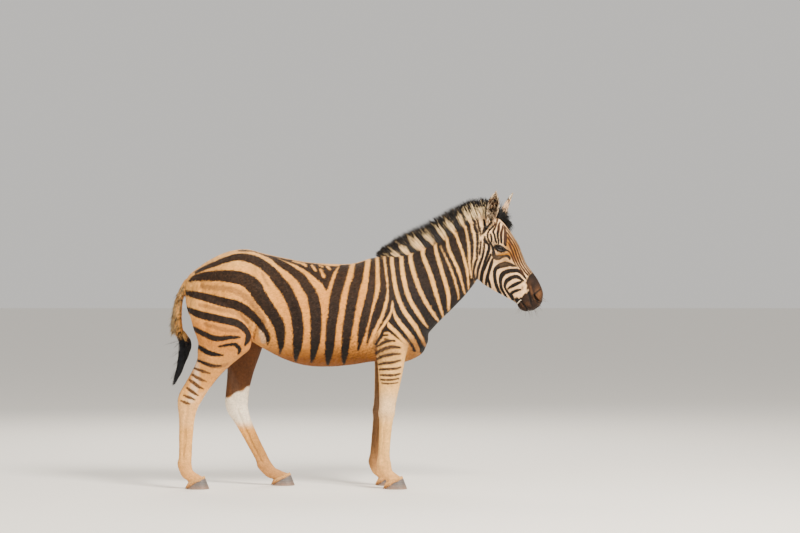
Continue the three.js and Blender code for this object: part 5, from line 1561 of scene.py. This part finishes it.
FORELOCK_STRANDS = 700
draw = np.random.default_rng(43)
t = draw.random(FORELOCK_STRANDS) ** 0.8
off = draw.uniform(-1, 1, FORELOCK_STRANDS)
roots = np.stack([756 + 52 * t, 22 * off, 1462 - 30 * t - 5 * off ** 2], 1)
grown = draw.uniform(0.5, 1.1, FORELOCK_STRANDS)[:, None]
way = np.stack([26 + 118 * t - 98 * t ** 2, 12 * off, 104 - 84 * t], 1) * grown
way += draw.normal(0, 8, (FORELOCK_STRANDS, 3))
bend = np.stack([4 - 22 * t, 5 * off, -8 - 130 * t + 76 * t ** 2], 1) * grown
bend += draw.normal(0, 7, (FORELOCK_STRANDS, 3))
spots = np.stack([0.1 + 0.8 * t, 0.5 + 0.4 * off], 1)
forelock, share = strands("forelock", roots, way, bend, draw.uniform(3, 6, FORELOCK_STRANDS),
                          draw.uniform(1.2, 2.2, FORELOCK_STRANDS), 5, spots)
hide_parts("head")
tone = per_point(draw.normal(1, 0.15, FORELOCK_STRANDS), share)[:, None]
lay_marks(forelock.data, ALL_DARK, CREAM, 0.6 * SOOT * tone)

# ---- Tail ----
# The dock is bone under short woolly hair with small dark rungs; long black hair leaves its lower half.
# It hangs straight down and ends in a thin pointed wisp, a little wavy from the wind.
# [x, z, radius of the hair] down the tuft
TAIL_LINE = [
    [-956, 852, 20], [-938, 808, 29], [-931, 775, 32], [-937, 735, 28], [-948, 692, 21], [-962, 645, 14],
    [-978, 600, 11], [-997, 552, 6],
]
TAIL_ROWS = len(TAIL_LINE) - 1
draw = np.random.default_rng(47)


def tail_hair(start, end, share, turn, curl):
    """Roots and runs of hair that follows the tail's line at its own share of the tuft's radius."""
    points = []
    for u in (start, (start + end) / 2, end):
        x, z, radius = row_at(TAIL_LINE, u).T
        radius = radius * share
        points.append(np.stack([x + np.cos(turn) * radius, 0.7 * np.sin(turn) * radius, z], 1))
    roots, mids, tips = points
    mids, tips = mids + draw.normal(0, curl, mids.shape), tips + draw.normal(0, 1.6 * curl, tips.shape)
    bend = 2 * (roots + tips - 2 * mids)
    return roots, tips - roots - bend, bend, np.stack([0.05 + 0.9 * start / TAIL_ROWS, turn / 6.5], 1)


TUFT_STRANDS = 1500
start = draw.uniform(0, 4.2, TUFT_STRANDS)
share = np.sqrt(draw.random(TUFT_STRANDS))
end = np.minimum(start + draw.uniform(1.6, 3.2, TUFT_STRANDS), TAIL_ROWS)
roots, way, bend, spots = tail_hair(start, end, share, draw.uniform(0, 2 * np.pi, TUFT_STRANDS), 2.5)
tuft, share = strands("tail_tuft", roots, way, bend, draw.uniform(2.5, 4.5, TUFT_STRANDS),
                      draw.uniform(1, 2, TUFT_STRANDS), 7, spots)
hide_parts("tail")
BLUE_BLACK = colour("#14151a")
tone = per_point(draw.normal(1, 0.15, TUFT_STRANDS), share)[:, None]
# The topmost hair is still pale at its root.
pale_root = per_point(roots[:, 2] + draw.normal(0, 10, TUFT_STRANDS) > 828, share)
lay_marks(tuft.data, np.where(pale_root, 14 * (share - 0.3), ALL_DARK), CREAM * tone, BLUE_BLACK * tone)

# Woolly hair hangs off the back of the dock and hides where the long black hair begins.
DOCK_HAIRS = 1300
draw = np.random.default_rng(59)
u = draw.uniform(0.5, 5.9, DOCK_HAIRS)
x, z, radius, _ = row_at(DOCK, u).T
turn = draw.normal(np.pi, 1.1, DOCK_HAIRS)
roots = np.stack([x + 0.8 * radius * np.cos(turn), 0.8 * radius * np.sin(turn), z], 1)
fuller = smooth(0.4, 4.5, u)[:, None]
way = np.stack([8 * np.cos(turn) - 9, 9 * np.sin(turn), np.full(DOCK_HAIRS, -34.0)], 1)
way = way * (0.55 + 0.75 * fuller) * draw.uniform(0.7, 1.1, (DOCK_HAIRS, 1))
way = way + draw.normal(0, 3, (DOCK_HAIRS, 3))
bend = np.stack([draw.normal(-3, 5, DOCK_HAIRS), draw.normal(0, 4, DOCK_HAIRS), np.full(DOCK_HAIRS, -9.0)], 1)
wool, share = strands("dock_wool", roots, way, bend, draw.uniform(2.2, 3.8, DOCK_HAIRS),
                      draw.uniform(0.9, 1.6, DOCK_HAIRS), 5,
                      np.stack([0.05 + 0.15 * u, (turn / (2 * np.pi)) % 1.0], 1))
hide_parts("tail")
STRAW, OLIVE_GREY = colour("#c9a872"), colour("#75614a")
tint = mix(STRAW, OLIVE_GREY, draw.uniform(0, 1, DOCK_HAIRS))
dark = np.where(draw.random(DOCK_HAIRS) < 0.1, ALL_DARK, ALL_PALE)
lay_marks(wool.data, per_point(dark, share), per_point(tint, share), BLACK)

# ---- Hair over the hooves ----
# A fringe of stiff hair falls over each coronet: short before, and down to the ground over the heels.
FRINGE_HAIRS = 520
draw = np.random.default_rng(61)
for name, joints, side in (("fore_right", FORE_JOINTS, -1), ("fore_left", FORE_JOINTS, 1),
                           ("hind_right", HIND_JOINTS, -1), ("hind_left", HIND_JOINTS, 1)):
    x, y, z = joints[side][-1]
    turn = 2 * np.pi * (np.arange(FRINGE_HAIRS) + draw.random(FRINGE_HAIRS)) / FRINGE_HAIRS
    ahead, across = np.cos(turn), np.sin(turn)
    lift = draw.uniform(1, 11, FRINGE_HAIRS)
    roots = np.stack([x + (CORONET["reach"] - 1) * ahead, side * y + (CORONET["half"] - 1) * across,
                      z + CORONET["rise"] * ahead + lift], 1)
    heel = smooth(0.1, -0.9, ahead)
    drop = (10 + 21 * heel + lift) * draw.uniform(0.75, 1.05, FRINGE_HAIRS)
    drop = np.minimum(drop, roots[:, 2] - 1)
    way = np.stack([ahead * (6 + 12 * heel), across * (7 + 4 * heel), -drop], 1)
    bend = np.stack([draw.normal(0, 1, FRINGE_HAIRS), draw.normal(0, 1, FRINGE_HAIRS), 0 * drop], 1)
    spots = np.stack([0.05 + 0.9 * turn / (2 * np.pi), 0.4 + 0.02 * lift], 1)
    fringe, share = strands("fringe_" + name, roots, way, bend, draw.uniform(2.0, 3.4, FRINGE_HAIRS),
                            draw.uniform(0.9, 1.4, FRINGE_HAIRS), 3, spots)
    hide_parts(name.split("_")[0] + "leg_" + name.split("_")[1])
    tone = per_point(draw.normal(1, 0.12, FRINGE_HAIRS), share)[:, None]
    lay_marks(fringe.data, ALL_PALE, mix(CREAM, DUST, share) * tone, BLACK)

# ---- Loose hairs ----
# Single stiff hairs stand clear: wisps blown off the tail, whiskers on lips and chin, and the long
# pale hairs that cross the inside of each ear from both rims.
draw = np.random.default_rng(53)
# [root x, root z, tip x, tip z] of each wisp
WISPS = [[-958, 800, -1046, 772], [-962, 780, -1000, 742], [-950, 745, -1022, 690], [-952, 700, -1012, 640],
         [-968, 650, -1030, 590], [-978, 620, -1024, 560]]
WISP_HAIRS = 5
wisp = np.repeat(np.array(WISPS, float), WISP_HAIRS, axis=0)
n = len(wisp)
roots = np.stack([wisp[:, 0], draw.normal(0, 8, n), wisp[:, 1]], 1) + draw.normal(0, 5, (n, 3))
way = np.stack([wisp[:, 2] - wisp[:, 0], draw.normal(0, 12, n), wisp[:, 3] - wisp[:, 1]], 1)
way *= draw.uniform(0.6, 1.02, (n, 1))
bend = np.stack([draw.normal(0, 8, n), draw.normal(0, 8, n), draw.normal(-8, 8, n)], 1)
wisps, share = strands("tail_wisps", roots, way - bend, bend, draw.uniform(0.9, 1.6, n), np.full(n, 0.9), 6,
                       np.stack([np.linspace(0.1, 0.9, n), np.full(n, 0.5)], 1))
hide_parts("tail")
lay_marks(wisps.data, ALL_DARK, CREAM, BLACK)

WHISKERS = 90
chin = np.flatnonzero((skin_places[:, 0] > 880) & (skin_places[:, 2] < 1035))
picked = draw.choice(chin, WHISKERS)
roots, out = skin_places[picked], skin_normals[picked]
reach = draw.uniform(14, 42, WHISKERS)[:, None]
bend = np.tile([0.0, 0.0, -0.25], (WHISKERS, 1)) * reach
whiskers, share = strands("whiskers", roots - out * 2, (out + [0.1, 0, -0.25]) * reach, bend,
                          np.full(WHISKERS, 0.8), np.full(WHISKERS, 0.8), 5,
                          np.stack([np.linspace(0.1, 0.9, WHISKERS), np.full(WHISKERS, 0.5)], 1))
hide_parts("head")
dark = np.where(draw.random(WHISKERS) < 0.6, ALL_DARK, ALL_PALE)
lay_marks(whiskers.data, per_point(dark, share), colour("#6a4f36"), BLACK)

EAR_HAIRS = 640
for name, ear in EARS.items():
    _, inner = ear_sheet()
    level = draw.integers(9, 42, EAR_HAIRS)
    place = draw.beta(0.55, 0.55, EAR_HAIRS)  # densest along both rims
    local = inner[level, (place * (EAR_ROUND - 1)).astype(int)]
    toward = np.sign(0.5 - place) * draw.uniform(0.0, 0.9, EAR_HAIRS)
    way = np.stack([draw.uniform(-0.05, 0.3, EAR_HAIRS), -toward * 0.5, np.ones(EAR_HAIRS)], 1)
    reach = draw.uniform(12, 34, EAR_HAIRS)[:, None] * (1.1 - level[:, None] / 60)
    turn = ear_matrix(ear)
    roots, way = moved(turn, local), (way * reach) @ turn[:3, :3].T
    hairs, share = strands("ear_hair_" + name, roots, way, draw.normal(0, 2, (EAR_HAIRS, 3)),
                           draw.uniform(1.5, 3, EAR_HAIRS), np.full(EAR_HAIRS, 0.9), 4,
                           np.stack([0.05 + level / 50, place * 0.9 + 0.05], 1))
    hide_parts("ear_" + name)
    dark = np.where(draw.random(EAR_HAIRS) < 0.7 - level / 100, ALL_DARK, ALL_PALE)
    tone = per_point(draw.uniform(0.5, 0.95, EAR_HAIRS), share)[:, None]
    lay_marks(hairs.data, per_point(dark, share), (0.4 * CREAM + 0.6 * WHITE) * tone, colour("#3c2313"))

# ---- Floor, lamps and camera ----
# A photographer's floor of pale painted board, flat and dull, with the animal standing free on it.
# A large warm lamp stands before it to the right, a weak one fills behind, one lifts the back's outline.
# The camera stands level, 14 m off the right flank, where near and far legs differ little in size.
floor = put("floor", [[-40, -20, 0], [40, -20, 0], [40, 60, 0], [-40, 60, 0]], [[0, 1, 2, 3]])
# Painted board: no gloss, so it shows soft shadows and nothing else.
painted, _, _ = surface("painted_floor", {"Base Color": (*colour("#f3efe8"), 1), "Roughness": 0.9})
floor.data.materials.append(painted)
world = bpy.data.worlds.new("studio")
bpy.context.scene.world = world
world.use_nodes = True
world.node_tree.nodes["Background"].inputs["Color"].default_value = (*colour("#fffcf7"), 1)
world.node_tree.nodes["Background"].inputs["Strength"].default_value = 0.7
# name: place and side in metres, and watts
LAMPS = {
    "key_lamp": [(3.2, -4.6, 5.6), 2.2, 1150], "fill_lamp": [(-4.5, -4.5, 3.0), 3.5, 90],
    "back_lamp": [(-1.0, 4.5, 4.5), 3.5, 260],
}
AIM = Vector((0, 0, 0.8))
for name, (place, size, power) in LAMPS.items():
    lamp = bpy.data.lights.new(name, "AREA")
    lamp.size = size
    lamp.energy = power
    lamp.color = colour("#fff7ea")
    stand = placed_piece(name, lamp)
    stand.location = place
    stand.rotation_euler = (AIM - Vector(place)).to_track_quat("-Z", "Y").to_euler()
CAMERA = {"place": (0.2398, -14.0, 1.2017), "lens": 115.6, "film": 36, "sees": 120}
view = bpy.data.cameras.new("view")
view.lens = CAMERA["lens"]
view.sensor_width = CAMERA["film"]
view.clip_end = CAMERA["sees"]
eye_point = placed_piece("view", view)
eye_point.location = CAMERA["place"]
eye_point.rotation_euler = (math.radians(90), 0, 0)
bpy.context.scene.camera = eye_point
